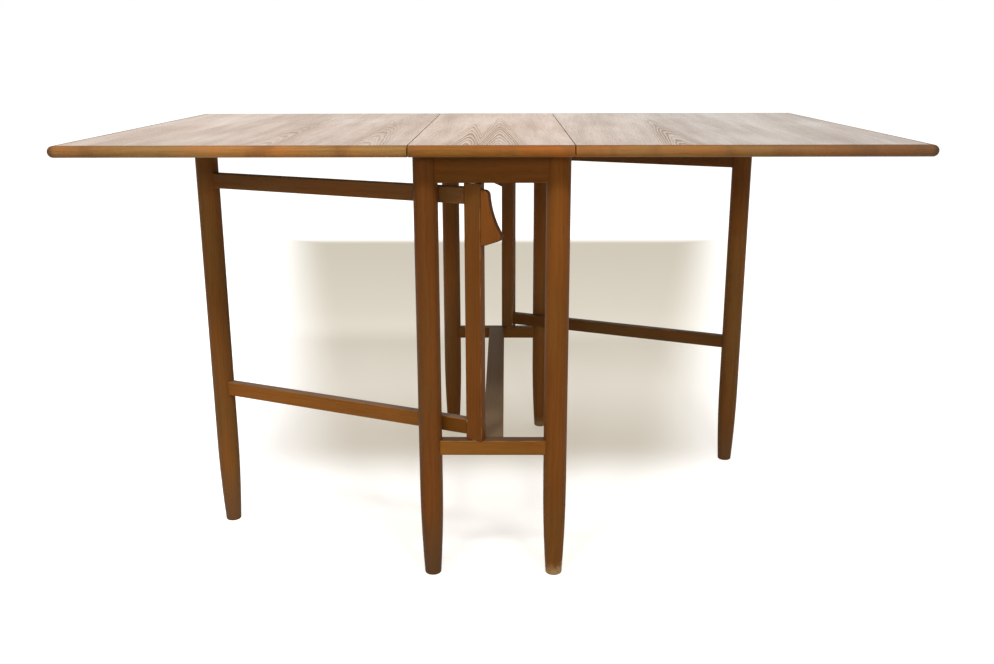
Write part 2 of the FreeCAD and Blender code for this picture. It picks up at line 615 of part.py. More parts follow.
for end, place in (("front", FRONT_END), ("rear", REAR_END)):
    block = new_body(f"{end}_fixing_block", place)
    plan = new_sketch(block, "XY_Plane", FIXING_HEAD)
    rectangle(
        plan, "-Sizes.block_length / 2", "Sizes.apron_thickness / 2",
        "Sizes.block_length / 2", "Sizes.apron_thickness / 2 + Sizes.block_width",
    )
    pad(block, plan, "Sizes.block_height")
    countersunk_holes(
        block, FIXING_SCREWS, FIXING_HEAD, "Sizes.fixing_screw_radius", "Sizes.fixing_head_radius",
    )
screw_group(
    "top_fixing_screws", Place(), TOP_FIXING_SCREWS, FIXING_HEAD, "Sizes.fixing_screw_radius",
    "Sizes.fixing_head_radius", "Sizes.fixing_screw_length",
)


# Gate pivots: steel pins fixed in the end rails and cross stretchers, with washers

PIVOTS = [("-Sizes.gate_pivot_x", f"-{LEG_Y}"), ("Sizes.gate_pivot_x", LEG_Y)]
pin_length = "Sizes.pivot_pin_seat + Sizes.washer_thickness + Sizes.pivot_pin_reach"
pins = new_body("gate_pivot_pins")
washers = new_body("gate_washers")
low_pin = "Sizes.stretcher_top - Sizes.pivot_pin_seat"
high_pin = f"{APRON_BOTTOM} - Sizes.washer_thickness - Sizes.pivot_pin_reach"
for bottom in (low_pin, high_pin):
    sketch = new_sketch(pins, "XY_Plane", bottom)
    circles(sketch, PIVOTS, "Sizes.pivot_pin_radius")
    pad(pins, sketch, pin_length)
for bottom in ("Sizes.stretcher_top", f"{APRON_BOTTOM} - Sizes.washer_thickness"):
    sketch = new_sketch(washers, "XY_Plane", bottom)
    circles(sketch, PIVOTS, "Sizes.washer_radius")
    circles(sketch, PIVOTS, "Sizes.pivot_pin_radius + Sizes.running_gap")
    pad(washers, sketch, "Sizes.washer_thickness")


# Gates: a pivoting post, two rails, an outer leg and a wing-shaped handle.
# Each is drawn along +X from its pivot axis and turned into place.

RAILS = {
    "upper": (UPPER_RAIL_BOTTOM, UPPER_RAIL_TOP),
    "lower": (LOWER_RAIL_BOTTOM, LOWER_RAIL_TOP),
}
GATE_MORTISES = [
    (
        "Sizes.rail_tenon_thickness",
        f"{bottom} + Sizes.rail_tenon_shoulder",
        f"{top} - Sizes.rail_tenon_shoulder",
    )
    for bottom, top in RAILS.values()
]
DOWELS = [
    (HANDLE_Y, f"{HANDLE_FOOT} + Sizes.dowel_low"),
    (HANDLE_Y, f"{HANDLE_FOOT} + Sizes.dowel_high"),
]


def gate_post(label, place):
    """Rectangular post bored for its pivot pins and cut for the rails and the handle's dowels."""
    body = new_body(label, place)
    plan = new_sketch(body, "XY_Plane", POST_BOTTOM)
    half_thickness = "(Sizes.post_thickness / 2)"
    rectangle(plan, f"-{POST_FACE}", f"-{half_thickness}", POST_FACE, half_thickness)
    length = pad(body, plan, f"{POST_TOP} - {POST_BOTTOM}")
    fillet(body, length, "Sizes.rail_rounding", runs_along(Vector(0, 0, 1)))
    for height, upwards in ((POST_BOTTOM, True), (POST_TOP, False)):
        bore = new_sketch(body, "XY_Plane", height)
        circles(bore, [("0", "0")], "Sizes.pivot_pin_radius + Sizes.running_gap")
        pocket(body, bore, "Sizes.pivot_pin_reach + Sizes.end_gap", along_normal=upwards)
    for thickness, bottom, upper in GATE_MORTISES:
        mortise = new_sketch(
            body, "YZ_Plane", f"{POST_FACE} - Sizes.post_tenon_depth - Sizes.end_gap",
        )
        reach = f"({thickness} / 2 + Sizes.glue_gap)"
        rectangle(
            mortise, f"-{reach}", f"{bottom} - Sizes.glue_gap", reach, f"{upper} + Sizes.glue_gap",
        )
        pocket(body, mortise, along_normal=True)
    sockets = new_sketch(
        body, "YZ_Plane", f"-({POST_FACE} - Sizes.dowel_depth - Sizes.end_gap)",
    )
    circles(sockets, DOWELS, "Sizes.dowel_radius + Sizes.glue_gap")
    pocket(body, sockets)


def gate_rail(label, place, bottom, top):
    """Rail from the post to the gate leg, scribed to the leg and tenoned at both ends."""
    body = new_body(label, place)
    half_thickness = "(Sizes.rail_thickness / 2)"
    end = new_sketch(body, "YZ_Plane", POST_FACE)
    rectangle(end, f"-{half_thickness}", bottom, half_thickness, top)
    length = pad(body, end, f"Sizes.gate_reach - {POST_FACE}")
    fillet(body, length, "Sizes.rail_rounding", runs_along(Vector(1, 0, 0)))
    scribe = new_sketch(body, "XY_Plane", bottom)
    circles(scribe, [("Sizes.gate_reach", "0")], "Sizes.leg_radius + Sizes.glue_gap")
    pocket(body, scribe, f"{top} - {bottom}", along_normal=True)
    half_tenon = "(Sizes.rail_tenon_thickness / 2)"
    tenon = new_sketch(body, "YZ_Plane", f"{POST_FACE} - Sizes.post_tenon_depth")
    rectangle(
        tenon, f"-{half_tenon}", f"{bottom} + Sizes.rail_tenon_shoulder",
        half_tenon, f"{top} - Sizes.rail_tenon_shoulder",
    )
    tenon_tip = "(Sizes.gate_reach - Sizes.leg_radius + Sizes.gate_leg_tenon_depth)"
    pad(body, tenon, f"{tenon_tip} - {POST_FACE} + Sizes.post_tenon_depth")


def gate_handle(label, place):
    """Wing-shaped grip with a hollow outer edge, glued to the post's back with two dowels and
    set almost flush with the post's outer face."""
    body = new_body(label, place)
    wing = new_sketch(body, "XZ_Plane", f"-{HANDLE_Y}")
    corners = [
        (f"-{POST_FACE}", HANDLE_FOOT),
        (f"-{POST_FACE} - Sizes.handle_tip_width", f"{HANDLE_FOOT} + Sizes.handle_tip_rise"),
        (f"-{POST_FACE} - Sizes.handle_top_width", HANDLE_TOP),
        (f"-{POST_FACE}", HANDLE_TOP),
    ]
    outline(wing, corners, {1: "Sizes.handle_hollow_radius"})
    shape = pad(body, wing, "Sizes.handle_thickness", both_ways=True)
    face_x = -number(POST_FACE)
    corner_x = face_x - number("Sizes.handle_top_width / 2")
    middle_y = number(HANDLE_Y)
    middle_z = number(f"({HANDLE_FOOT} + {HANDLE_TOP}) / 2")
    half_thickness = number("Sizes.handle_thickness / 2")

    def is_corner(edge):
        return runs_along(Vector(0, 1, 0))(edge) and edge.CenterOfMass.x < corner_x

    def is_tip(edge):
        return is_corner(edge) and edge.CenterOfMass.z < middle_z

    def is_top_corner(edge):
        return is_corner(edge) and edge.CenterOfMass.z > middle_z

    def is_outer_edge(edge):
        on_side = abs(abs(edge.CenterOfMass.y - middle_y) - half_thickness) < TOUCHING
        return on_side and edge.CenterOfMass.x < face_x - TOUCHING

    tip = fillet(body, shape, "Sizes.handle_tip_rounding", is_tip)
    top = fillet(body, tip, "Sizes.handle_top_rounding", is_top_corner)
    fillet(body, top, "Sizes.handle_edge_rounding", is_outer_edge)
    sockets = new_sketch(
        body, "YZ_Plane", f"-({POST_FACE} + Sizes.dowel_depth + Sizes.end_gap)",
    )
    circles(sockets, DOWELS, "Sizes.dowel_radius + Sizes.glue_gap")
    pocket(body, sockets, along_normal=True)


def handle_dowels(label, place):
    """Two dowels across the joint of handle and post."""
    body = new_body(label, place)
    sketch = new_sketch(body, "YZ_Plane", f"-({POST_FACE} + Sizes.dowel_depth)")
    circles(sketch, DOWELS, "Sizes.dowel_radius")
    pad(body, sketch, "2 * Sizes.dowel_depth")


for side, place in (("left", LEFT_GATE), ("right", RIGHT_GATE)):
    gate_post(f"{side}_gate_post", place)
    for name, (bottom, top) in RAILS.items():
        gate_rail(f"{side}_gate_{name}_rail", place, bottom, top)
    leg(
        f"{side}_gate_leg", place, "Sizes.gate_reach", f"{UNDERSIDE} - Sizes.lift_gap",
        GATE_MORTISES, "Sizes.gate_leg_tenon_depth",
    )
    gate_handle(f"{side}_gate_handle", place)
    handle_dowels(f"{side}_handle_dowels", place)


# Stop blocks screwed under the leaves, which the gate legs come to rest against

for side, place in (("left", LEFT_GATE), ("right", RIGHT_GATE)):
    stop = new_body(f"{side}_stop_block", place)
    stop_bottom = f"({UNDERSIDE} - Sizes.stop_height)"
    plan = new_sketch(stop, "XY_Plane", stop_bottom)
    rectangle(
        plan, "Sizes.gate_reach - Sizes.stop_length / 2", f"{STOP_Y} - Sizes.stop_width / 2",
        "Sizes.gate_reach + Sizes.stop_length / 2", f"{STOP_Y} + Sizes.stop_width / 2",
    )
    pad(stop, plan, "Sizes.stop_height")
    countersunk_holes(
        stop, STOP_SCREWS, stop_bottom, "Sizes.screw_radius", "Sizes.screw_head_radius",
    )
    screw_group(
        f"{side}_stop_screws", place, STOP_SCREWS, stop_bottom, "Sizes.screw_radius",
        "Sizes.screw_head_radius", "Sizes.stop_screw_length",
    )


# Back-flap hinges under the joints: five knuckles, three on the frame's flap

FRAME_KNUCKLES = (0, 2, 4)
LEAF_KNUCKLES = (1, 3)
KNUCKLE = f"(Sizes.hinge_length / {len(FRAME_KNUCKLES) + len(LEAF_KNUCKLES)})"


def hinge_flap(label, place, cut_knuckles, bore_gap):
    """Flap with its plate on the +X side of the pin, drawn about the middle of the pin. The
    other flap's knuckles are cut out."""
    body = new_body(label, place)
    half_length = "(Sizes.hinge_length / 2)"
    plate_bottom = f"({HINGE_DROP} - Sizes.flap_thickness)"
    plan = new_sketch(body, "XY_Plane", plate_bottom)
    rectangle(plan, "0", f"-{half_length}", FLAP_WIDTH, half_length)
    plate = pad(body, plan, "Sizes.flap_thickness")

    def is_outer_corner(edge):
        return runs_along(Vector(0, 0, 1))(edge) and edge.CenterOfMass.x > number(FLAP_WIDTH) / 2

    fillet(body, plate, "Sizes.flap_corner_rounding", is_outer_corner)
    barrel = new_sketch(body, "XZ_Plane")
    circles(barrel, [("0", "0")], "Sizes.knuckle_radius")
    pad(body, barrel, "Sizes.hinge_length", both_ways=True)
    bore = new_sketch(body, "XZ_Plane")
    circles(bore, [("0", "0")], f"Sizes.hinge_pin_radius + {bore_gap}")
    pocket(body, bore, "Sizes.hinge_length", both_ways=True)
    slots = new_sketch(body, "XY_Plane", HINGE_DROP)
    slot_reach = "(Sizes.knuckle_radius + Sizes.swing_gap)"
    for index in cut_knuckles:
        low = f"{index} * {KNUCKLE} - {half_length} - Sizes.knuckle_gap / 2"
        high = f"{index + 1} * {KNUCKLE} - {half_length} + Sizes.knuckle_gap / 2"
        rectangle(slots, f"-{slot_reach}", low, slot_reach, high)
    pocket(body, slots)
    countersunk_holes(
        body, FLAP_SCREWS, plate_bottom, "Sizes.screw_radius", "Sizes.screw_head_radius",
    )


HINGE_Z = f"{UNDERSIDE} - {HINGE_DROP}"
for side, joint_x, frame_angle, leaf_angle in (
    ("left", f"-{JOINT_X}", "0", "180"),
    ("right", JOINT_X, "180", "0"),
):
    for end, y in zip(("front", "rear"), HINGE_ENDS):
        name = f"{side}_{end}_hinge"
        hinge_flap(
            f"{name}_frame_flap", Place(joint_x, y, HINGE_Z, frame_angle), LEAF_KNUCKLES,
            "Sizes.seat_gap",
        )
        hinge_flap(
            f"{name}_leaf_flap", Place(joint_x, y, HINGE_Z, leaf_angle), FRAME_KNUCKLES,
            "Sizes.running_gap",
        )
    hinge_pins = new_body(f"{side}_hinge_pins", Place(joint_x, "0", HINGE_Z, "0"))
    for y in HINGE_ENDS:
        sketch = new_sketch(hinge_pins, "XZ_Plane", f"{y} - Sizes.hinge_length / 2")
        circles(sketch, [("0", "0")], "Sizes.hinge_pin_radius")
        rod = pad(hinge_pins, sketch, "Sizes.hinge_length")
        rod.Reversed = True

flap_bottom = f"({UNDERSIDE} - Sizes.flap_thickness)"
for label, place, centres in (
    ("frame_hinge_screws", Place(), FRAME_HINGE_SCREWS),
    ("left_leaf_hinge_screws", LEFT_LEAF, LEAF_HINGE_SCREWS),
    ("right_leaf_hinge_screws", RIGHT_LEAF, LEAF_HINGE_SCREWS),
):
    screw_group(
        label, place, centres, flap_bottom, "Sizes.screw_radius", "Sizes.screw_head_radius",
        "Sizes.hinge_screw_length",
    )

# Every feature has to be sound before a file is written

doc.recompute()
for item in doc.Objects:
    if "Invalid" in item.State or "Error" in item.State:
        raise RuntimeError(f"{item.Label} did not build: {item.State}")
for cut in cuts:
    if cut.BaseFeature.Shape.Volume - cut.Shape.Volume < SMALLEST_CUT:
        raise RuntimeError(f"{cut.Label} cuts nothing away")
for body in sub_parts:
    if body.Shape.isNull() or not body.Shape.isValid() or not body.Shape.Solids:
        raise RuntimeError(f"{body.Label} is not a sound solid")

os.makedirs("parts", exist_ok=True)
for body in sub_parts:
    body.Shape.exportStep(f"parts/{body.Label}.step")
    print(f"{body.Label}: {len(body.Shape.Solids)} solids, {body.Shape.Volume / 1000:.1f} cm3")
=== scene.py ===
from math import pi, radians

import bmesh
import bpy
from mathutils import Matrix, Vector


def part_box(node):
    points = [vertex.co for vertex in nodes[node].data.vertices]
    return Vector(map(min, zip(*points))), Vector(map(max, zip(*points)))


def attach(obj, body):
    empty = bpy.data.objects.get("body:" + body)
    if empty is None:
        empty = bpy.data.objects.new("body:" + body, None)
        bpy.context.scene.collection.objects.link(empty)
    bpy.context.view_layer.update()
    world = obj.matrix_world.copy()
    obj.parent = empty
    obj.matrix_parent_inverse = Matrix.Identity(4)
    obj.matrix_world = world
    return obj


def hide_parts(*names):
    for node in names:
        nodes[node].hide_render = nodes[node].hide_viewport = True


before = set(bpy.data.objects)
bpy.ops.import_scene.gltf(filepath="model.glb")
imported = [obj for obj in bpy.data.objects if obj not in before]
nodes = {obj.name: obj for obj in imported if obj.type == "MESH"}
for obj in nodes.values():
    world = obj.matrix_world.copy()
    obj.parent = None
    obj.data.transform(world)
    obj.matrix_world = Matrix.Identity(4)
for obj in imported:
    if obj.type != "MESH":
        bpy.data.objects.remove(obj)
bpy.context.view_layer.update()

# Four round frame legs, turned from solid wood, stained brown and lacquered to a satin.
# They carry the end rails and the middle of the top, and taper to a softened foot.
# The stain is rubbed thin at the tips of the feet.

UP = Vector((0, 0, 1))


def add_node(tree, kind, inputs, **settings):
    """New shader node, its inputs set to values or joined to the outputs of other nodes."""
    made = tree.nodes.new(kind)
    for setting, value in settings.items():
        setattr(made, setting, value)
    for socket, value in inputs.items():
        if isinstance(value, bpy.types.NodeSocket):
            tree.links.new(value, made.inputs[socket])
        else:
            made.inputs[socket].default_value = value
    return made


def maths(tree, operation, first, second=0.0, third=0.0):
    """Result of a sum on one, two or three numbers."""
    inputs = {0: first, 1: second, 2: third}
    return add_node(tree, "ShaderNodeMath", inputs, operation=operation).outputs[0]


def vector_maths(tree, operation, first, second=(0, 0, 0)):
    """Result of a sum on vectors: a number for a length or a dot product, and else a vector."""
    made = add_node(tree, "ShaderNodeVectorMath", {0: first, 1: second}, operation=operation)
    return made.outputs["Value" if operation in ("LENGTH", "DOT_PRODUCT") else "Vector"]


def spread(tree, value, low, high, to_low=0.0, to_high=1.0):
    """Value moved from one range to another, smoothly and with its ends held."""
    inputs = {0: value, 1: low, 2: high, 3: to_low, 4: to_high}
    made = add_node(tree, "ShaderNodeMapRange", inputs, interpolation_type="SMOOTHSTEP")
    return made.outputs[0]


def blend_colours(tree, amount, first, second):
    """Two colours mixed by an amount, each a colour or a socket."""
    made = add_node(tree, "ShaderNodeMix", {0: amount}, data_type="RGBA")
    for socket, colour in ((made.inputs[6], first), (made.inputs[7], second)):
        if isinstance(colour, bpy.types.NodeSocket):
            tree.links.new(colour, socket)
        else:
            socket.default_value = (*colour, 1.0)
    return made.outputs[2]


def noise(tree, vector, scale, detail=3.0, roughness=0.5):
    """Soft noise, mostly between 0.25 and 0.75."""
    inputs = {"Vector": vector, "Scale": scale, "Detail": detail, "Roughness": roughness}
    return add_node(tree, "ShaderNodeTexNoise", inputs).outputs["Fac"]


def place_on_table(tree):
    """Place of the point that is coloured, in metres from the middle of the table's footprint."""
    return add_node(tree, "ShaderNodeTexCoord", {}).outputs["Object"]


def coordinate(tree, place, axis):
    """The X, Y or Z of a place."""
    return add_node(tree, "ShaderNodeSeparateXYZ", {0: place}).outputs[axis]


def drawn_out(tree, grain, along):
    """Grain coordinates squeezed along the grain, so that a pattern is drawn out along it."""
    return vector_maths(tree, "MULTIPLY", grain, (1.0, 1.0, along))


def from_pith(tree, grain, aside=0.0):
    """Distance from a line along the grain, beside the pith."""
    shifted = vector_maths(tree, "SUBTRACT", grain, (aside, 0, 0))
    return vector_maths(tree, "LENGTH", vector_maths(tree, "MULTIPLY", shifted, (1, 1, 0)))


FORK_SIZE = 0.010
RING_SWAYS = (  # how far drawn out along the grain, how fine, how strong
    (0.22, 11.0, 1.0),
    (0.2, 32.0, 0.7),
    (0.08, 80.0, 0.3),
)
DARKENING, NEW_SPRING = (0.2, 0.8), (0.85, 1.0)  # parts of a year's growth
FAINTEST_RING = 0.3
FADING_RINGS, FADED = 4.0, 0.15


def growth_rings(tree, grain, spacing, taper, waviness, heart, fork):
    """Dark lines of the growth rings about the pith, some strong and some faint. On a face cut
    along a tapering log they draw arches, which fade where the rings are older than heart. A
    forked log has a younger pith as well, at a distance fork beside the main one."""
    radius = from_pith(tree, grain)
    if fork is not None:
        younger = maths(tree, "ADD", from_pith(tree, grain, fork), FORK_SIZE)
        radius = maths(tree, "MINIMUM", radius, younger)
    age = maths(tree, "MULTIPLY_ADD", coordinate(tree, grain, "Z"), taper, radius)
    for stretch, scale, sway in RING_SWAYS:
        wander = noise(tree, drawn_out(tree, grain, stretch), scale, 2.0)
        age = maths(tree, "MULTIPLY_ADD", wander, sway * waviness, age)
    years = maths(tree, "DIVIDE", age, spacing)
    year = maths(tree, "FLOOR", years)
    season = maths(tree, "SUBTRACT", years, year)
    darkened = spread(tree, season, *DARKENING)
    line = maths(tree, "MULTIPLY", darkened, spread(tree, season, *NEW_SPRING, 1.0, 0.0))
    chance = add_node(tree, "ShaderNodeTexWhiteNoise", {"W": year}, noise_dimensions="1D")
    strength = maths(
        tree, "MULTIPLY_ADD", chance.outputs["Value"], 1.0 - FAINTEST_RING, FAINTEST_RING,
    )
    line = maths(tree, "MULTIPLY", line, strength)
    fading = spread(tree, age, heart, heart + FADING_RINGS * spacing, 1.0, FADED)
    return maths(tree, "MULTIPLY", line, fading)


def new_finish(name):
    """New material, with its shader tree and its surface shader."""
    material = bpy.data.materials.new(name)
    material.use_nodes = True
    tree = material.node_tree
    return material, tree, tree.nodes["Principled BSDF"]


CLOUDS, STREAKS, HAIRS = 0.5, 0.25, 0.12
TONES = (-0.35, 0.45)
EVEN_TINT, WARM_TINT, TINTS = Vector((1, 1, 1)), Vector((1.07, 0.97, 0.88)), (0.35, 0.65)
PORES, PORE_COVER, PORE_SHADE = (0.62, 0.74), 0.35, 0.3
DULLER_DARKS, DULLER_RINGS, DULLER_PORES = 0.2, 0.3, 0.15
RAISED_STREAKS, RELIEF_STRENGTH, RELIEF_DEPTH = 0.4, 0.3, 0.0002


def wood(
    name, along, pith, pale, dark, ring=0.005, taper=0.004, waviness=0.016, heart=9.0, figure=0.12,
    bands=0.45, flush=1.0, roughness=0.5, specular=0.06, fork=None, mirror_x=None,
):
    """Lacquered wood with its grain along a direction. pith is a point on the middle line of the
    log, pale and dark are the colours between which rings, bands and streaks play. The pattern
    may be mirrored at mirror_x, as in a pair of matched veneers."""
    material, tree, shader = new_finish(name)
    place = place_on_table(tree)
    if mirror_x is not None:
        across = vector_maths(tree, "SUBTRACT", place, (mirror_x, 0, 0))
        x, y, z = add_node(tree, "ShaderNodeSeparateXYZ", {0: across}).outputs
        x = maths(tree, "ADD", maths(tree, "ABSOLUTE", x), mirror_x)
        place = add_node(tree, "ShaderNodeCombineXYZ", {0: x, 1: y, 2: z}).outputs[0]
    turn = Vector(along).rotation_difference(UP)
    grain = add_node(
        tree, "ShaderNodeMapping",
        {"Vector": place, "Rotation": turn.to_euler(), "Location": -(turn @ Vector(pith))},
    ).outputs[0]

    rings = growth_rings(tree, grain, ring, taper, waviness, heart, fork)
    tone = maths(tree, "MULTIPLY", rings, figure)
    streak = noise(tree, drawn_out(tree, grain, 0.02), 240.0, 4.0, 0.6)
    for part, amount in (
        (noise(tree, place, 3.0, 2.0), CLOUDS),
        (noise(tree, drawn_out(tree, grain, 0.09), 26.0, 3.0, 0.6), bands),
        (streak, STREAKS),
        (noise(tree, drawn_out(tree, grain, 0.012), 1400.0, 2.0), HAIRS),
    ):
        tone = maths(tree, "MULTIPLY_ADD", maths(tree, "SUBTRACT", part, 0.5), amount, tone)
    depth = spread(tree, tone, *TONES)
    colour = blend_colours(tree, depth, pale, dark)
    redder = spread(tree, noise(tree, drawn_out(tree, grain, 0.25), 17.0, 3.0), *TINTS)
    tints = [EVEN_TINT.lerp(WARM_TINT, amount) for amount in (-flush, flush)]
    colour = vector_maths(tree, "MULTIPLY", colour, blend_colours(tree, redder, *tints))
    pore = spread(tree, noise(tree, drawn_out(tree, grain, 0.03), 1100.0, 1.0), *PORES)
    deep = [PORE_SHADE * part for part in dark]
    colour = blend_colours(tree, maths(tree, "MULTIPLY", pore, PORE_COVER), colour, deep)
    tree.links.new(colour, shader.inputs["Base Color"])

    dull = maths(tree, "MULTIPLY_ADD", depth, DULLER_DARKS, roughness - DULLER_DARKS / 2)
    dull = maths(tree, "MULTIPLY_ADD", rings, DULLER_RINGS * figure, dull)
    dull = maths(tree, "MULTIPLY_ADD", pore, DULLER_PORES, dull)
    tree.links.new(dull, shader.inputs["Roughness"])
    shader.inputs["Specular IOR Level"].default_value = specular
    relief = maths(tree, "MULTIPLY_ADD", streak, RAISED_STREAKS, maths(tree, "MULTIPLY", pore, -1.0))
    bump = add_node(
        tree, "ShaderNodeBump",
        {"Height": relief, "Strength": RELIEF_STRENGTH, "Distance": RELIEF_DEPTH},
    )
    tree.links.new(bump.outputs[0], shader.inputs["Normal"])
    return material


def weather(material, mask, colour):
    """Takes a finish towards a colour of wear, dust or fading. The mask is a function of the
    shader tree and the place that says how far, from 0 to 1."""
    tree = material.node_tree
    socket = tree.nodes["Principled BSDF"].inputs["Base Color"]
    amount = mask(tree, place_on_table(tree))
    worn = blend_colours(tree, amount, socket.links[0].from_socket, colour)
    tree.links.new(worn, socket)


def paint(material, *names):
    """Gives CAD pieces a finish."""
    for name in names:
        for slot in nodes[name].material_slots:
            slot.material = material


BARE_WOOD = (0.3, 0.19, 0.085)
GRUBBY_WOOD = (0.08, 0.038, 0.0155)
FOOT_WEAR = 0.85
WORN_TIP = 0.016
GRUBBY_HEIGHTS, GRUBBY_SWAY = (0.02, 0.15), 0.03


def foot_tip(tree, place):
    """Mask of the tip of a foot, worn off along a ragged line that is higher on some sides."""
    height = coordinate(tree, place, "Z")
    ragged = maths(tree, "MULTIPLY_ADD", noise(tree, place, 140.0), 2.4 * WORN_TIP, height)
    uneven = maths(tree, "MULTIPLY_ADD", noise(tree, place, 5.0), 3.0 * WORN_TIP, ragged)
    return spread(tree, uneven, 2.6 * WORN_TIP, 4.2 * WORN_TIP, FOOT_WEAR, 0.0)


def grubby_foot(tree, place):
    """Mask of the lower end of a leg, grubby from the floor upwards."""
    height = coordinate(tree, place, "Z")
    uneven = maths(tree, "MULTIPLY_ADD", noise(tree, place, 30.0), GRUBBY_SWAY, height)
    return spread(tree, uneven, *GRUBBY_HEIGHTS, FOOT_WEAR, 0.0)


right_leg_wood = wood(
    "right_leg_wood", UP, pith=(0.9, 0.55, 0), pale=(0.172, 0.064, 0.0112), dark=(0.09, 0.031, 0.0052),
)
left_leg_wood = wood(
    "left_leg_wood", UP, pith=(0.4, 0.75, 0), pale=(0.143, 0.049, 0.0092), dark=(0.075, 0.024, 0.0043),
)
# Painted light: the rear legs' wood is paler than the front legs', making up for the shade they stand in
# under the top.
rear_leg_wood_painted_light = wood(
    "rear_leg_wood_painted_light", UP, pith=(0.7, 0.35, 0), pale=(0.205, 0.081, 0.0185), dark=(0.11, 0.041, 0.0092),
)
weather(left_leg_wood, grubby_foot, GRUBBY_WOOD)
for finish in (right_leg_wood, rear_leg_wood_painted_light):
    weather(finish, foot_tip, BARE_WOOD)
paint(right_leg_wood, "front_right_leg")
paint(left_leg_wood, "front_left_leg")
paint(rear_leg_wood_painted_light, "rear_left_leg", "rear_right_leg")

# End rails under the top and low cross stretchers, planed from the same stained wood, with softened
# edges. They are scribed to the round legs and held in them by glued tenons. Their upper faces are
# darker and greyer, and the stain is rubbed thin along the edges. The end rails' darker wood is
# painted shade from the overhanging top.

SIDE_TO_SIDE, FRONT_TO_REAR = Vector((1, 0, 0)), Vector((0, 1, 0))
SQUARE = (SIDE_TO_SIDE, FRONT_TO_REAR, UP)
UPPER_FACE_DARK_GREY = (0.075, 0.046, 0.027)
UPWARD_FACES, UPWARD_COVER = (0.55, 0.95), 0.8
RUBBED_WOOD = (0.3, 0.135, 0.036)
EDGE_TURNS, EDGE_WEAR, EDGE_PATCHES = (0.82, 0.97), 0.55, (0.42, 0.6)
RAIL_PALE, RAIL_DARK = (0.225, 0.085, 0.0135), (0.125, 0.044, 0.0065)


def facing(tree, direction):
    """How squarely a surface faces a direction of its own piece, from -1 to 1."""
    outwards = add_node(tree, "ShaderNodeTexCoord", {}).outputs["Normal"]
    return vector_maths(tree, "DOT_PRODUCT", outwards, direction)


def upper_face(tree, place):
    """Mask of the faces that look up."""
    return spread(tree, facing(tree, UP), *UPWARD_FACES, 0.0, UPWARD_COVER)


def rubbed_edges(square_faces):
    """Mask of the softened edges between faces square to three directions, in patches."""
    def mask(tree, place):
        squareness = 0.0
        for direction in square_faces:
            towards = maths(tree, "ABSOLUTE", facing(tree, direction))
            squareness = maths(tree, "MAXIMUM", towards, squareness)
        edge = spread(tree, squareness, *EDGE_TURNS, EDGE_WEAR, 0.0)
        patches = spread(tree, noise(tree, place, 30.0, 4.0), *EDGE_PATCHES)
        return maths(tree, "MULTIPLY", edge, patches)
    return mask


# Painted shade: the end rails' wood is darker than the stretchers', standing in for the shadow of the
# overhanging top.
apron_wood_painted_shade = wood(
    "apron_wood_painted_shade", SIDE_TO_SIDE, pith=(0, 0.5, 1.1), pale=(0.14, 0.051, 0.0085), dark=(0.078, 0.026, 0.004),
)
front_stretcher_wood = wood(
    "front_stretcher_wood", SIDE_TO_SIDE, pith=(0, 0.5, 0.9), pale=RAIL_PALE, dark=RAIL_DARK,
)
rear_stretcher_wood = wood(
    "rear_stretcher_wood", SIDE_TO_SIDE, pith=(0, 0.2, 0.9),
    pale=(0.175, 0.066, 0.0115), dark=(0.097, 0.034, 0.006),
)
for rail_wood in (front_stretcher_wood, rear_stretcher_wood, apron_wood_painted_shade):
    weather(rail_wood, upper_face, UPPER_FACE_DARK_GREY)
    weather(rail_wood, rubbed_edges(SQUARE), RUBBED_WOOD)
paint(apron_wood_painted_shade, "front_apron", "rear_apron")
paint(front_stretcher_wood, "front_stretcher")
paint(rear_stretcher_wood, "rear_stretcher")

# Long stretcher: a flat board of the same stained wood, tenoned between the two cross stretchers.
# So low down it is seldom wiped, and the dust on it is thick; its grey upper face is also a painted sheen
# of reflected light.

THICK_DUST_AND_SHEEN = (0.16, 0.118, 0.073)
long_rail_wood = wood(
    "long_rail_wood", FRONT_TO_REAR, pith=(0.06, 0, 0.16), pale=RAIL_PALE, dark=RAIL_DARK, specular=0.02,
)
weather(long_rail_wood, upper_face, THICK_DUST_AND_SHEEN)
weather(long_rail_wood, rubbed_edges(SQUARE), RUBBED_WOOD)
paint(long_rail_wood, "long_stretcher")

# Fixing blocks of plain unstained wood, glued inside the end rails. Slotted steel screws go up
# through them into the middle board and hold the top down.

block_wood = wood(
    "block_wood", SIDE_TO_SIDE, pith=(0, 0.3, 0.9), pale=(0.52, 0.36, 0.21), dark=(0.34, 0.21, 0.11),
    roughness=0.7,
)
paint(block_wood, "front_fixing_block", "rear_fixing_block")

TARNISH_SHADE, TARNISH_DULLING = 0.5, 0.3
SCRATCH_STRENGTH, SCRATCH_DEPTH = 0.2, 0.0001


def steel(name, colour, roughness):
    """Dull steel with fine scratches and a little tarnish."""
    material, tree, shader = new_finish(name)
    place = place_on_table(tree)
    tarnish = noise(tree, place, 180.0, 4.0, 0.6)
    shade = blend_colours(tree, tarnish, colour, [TARNISH_SHADE * part for part in colour])
    tree.links.new(shade, shader.inputs["Base Color"])
    shader.inputs["Metallic"].default_value = 1.0
    dull = maths(tree, "MULTIPLY_ADD", tarnish, TARNISH_DULLING, roughness)
    tree.links.new(dull, shader.inputs["Roughness"])
    scratches = noise(tree, drawn_out(tree, place, 0.05), 2400.0, 2.0)
    bump = add_node(
        tree, "ShaderNodeBump",
        {"Height": scratches, "Strength": SCRATCH_STRENGTH, "Distance": SCRATCH_DEPTH},
    )
    tree.links.new(bump.outputs[0], shader.inputs["Normal"])
    return material


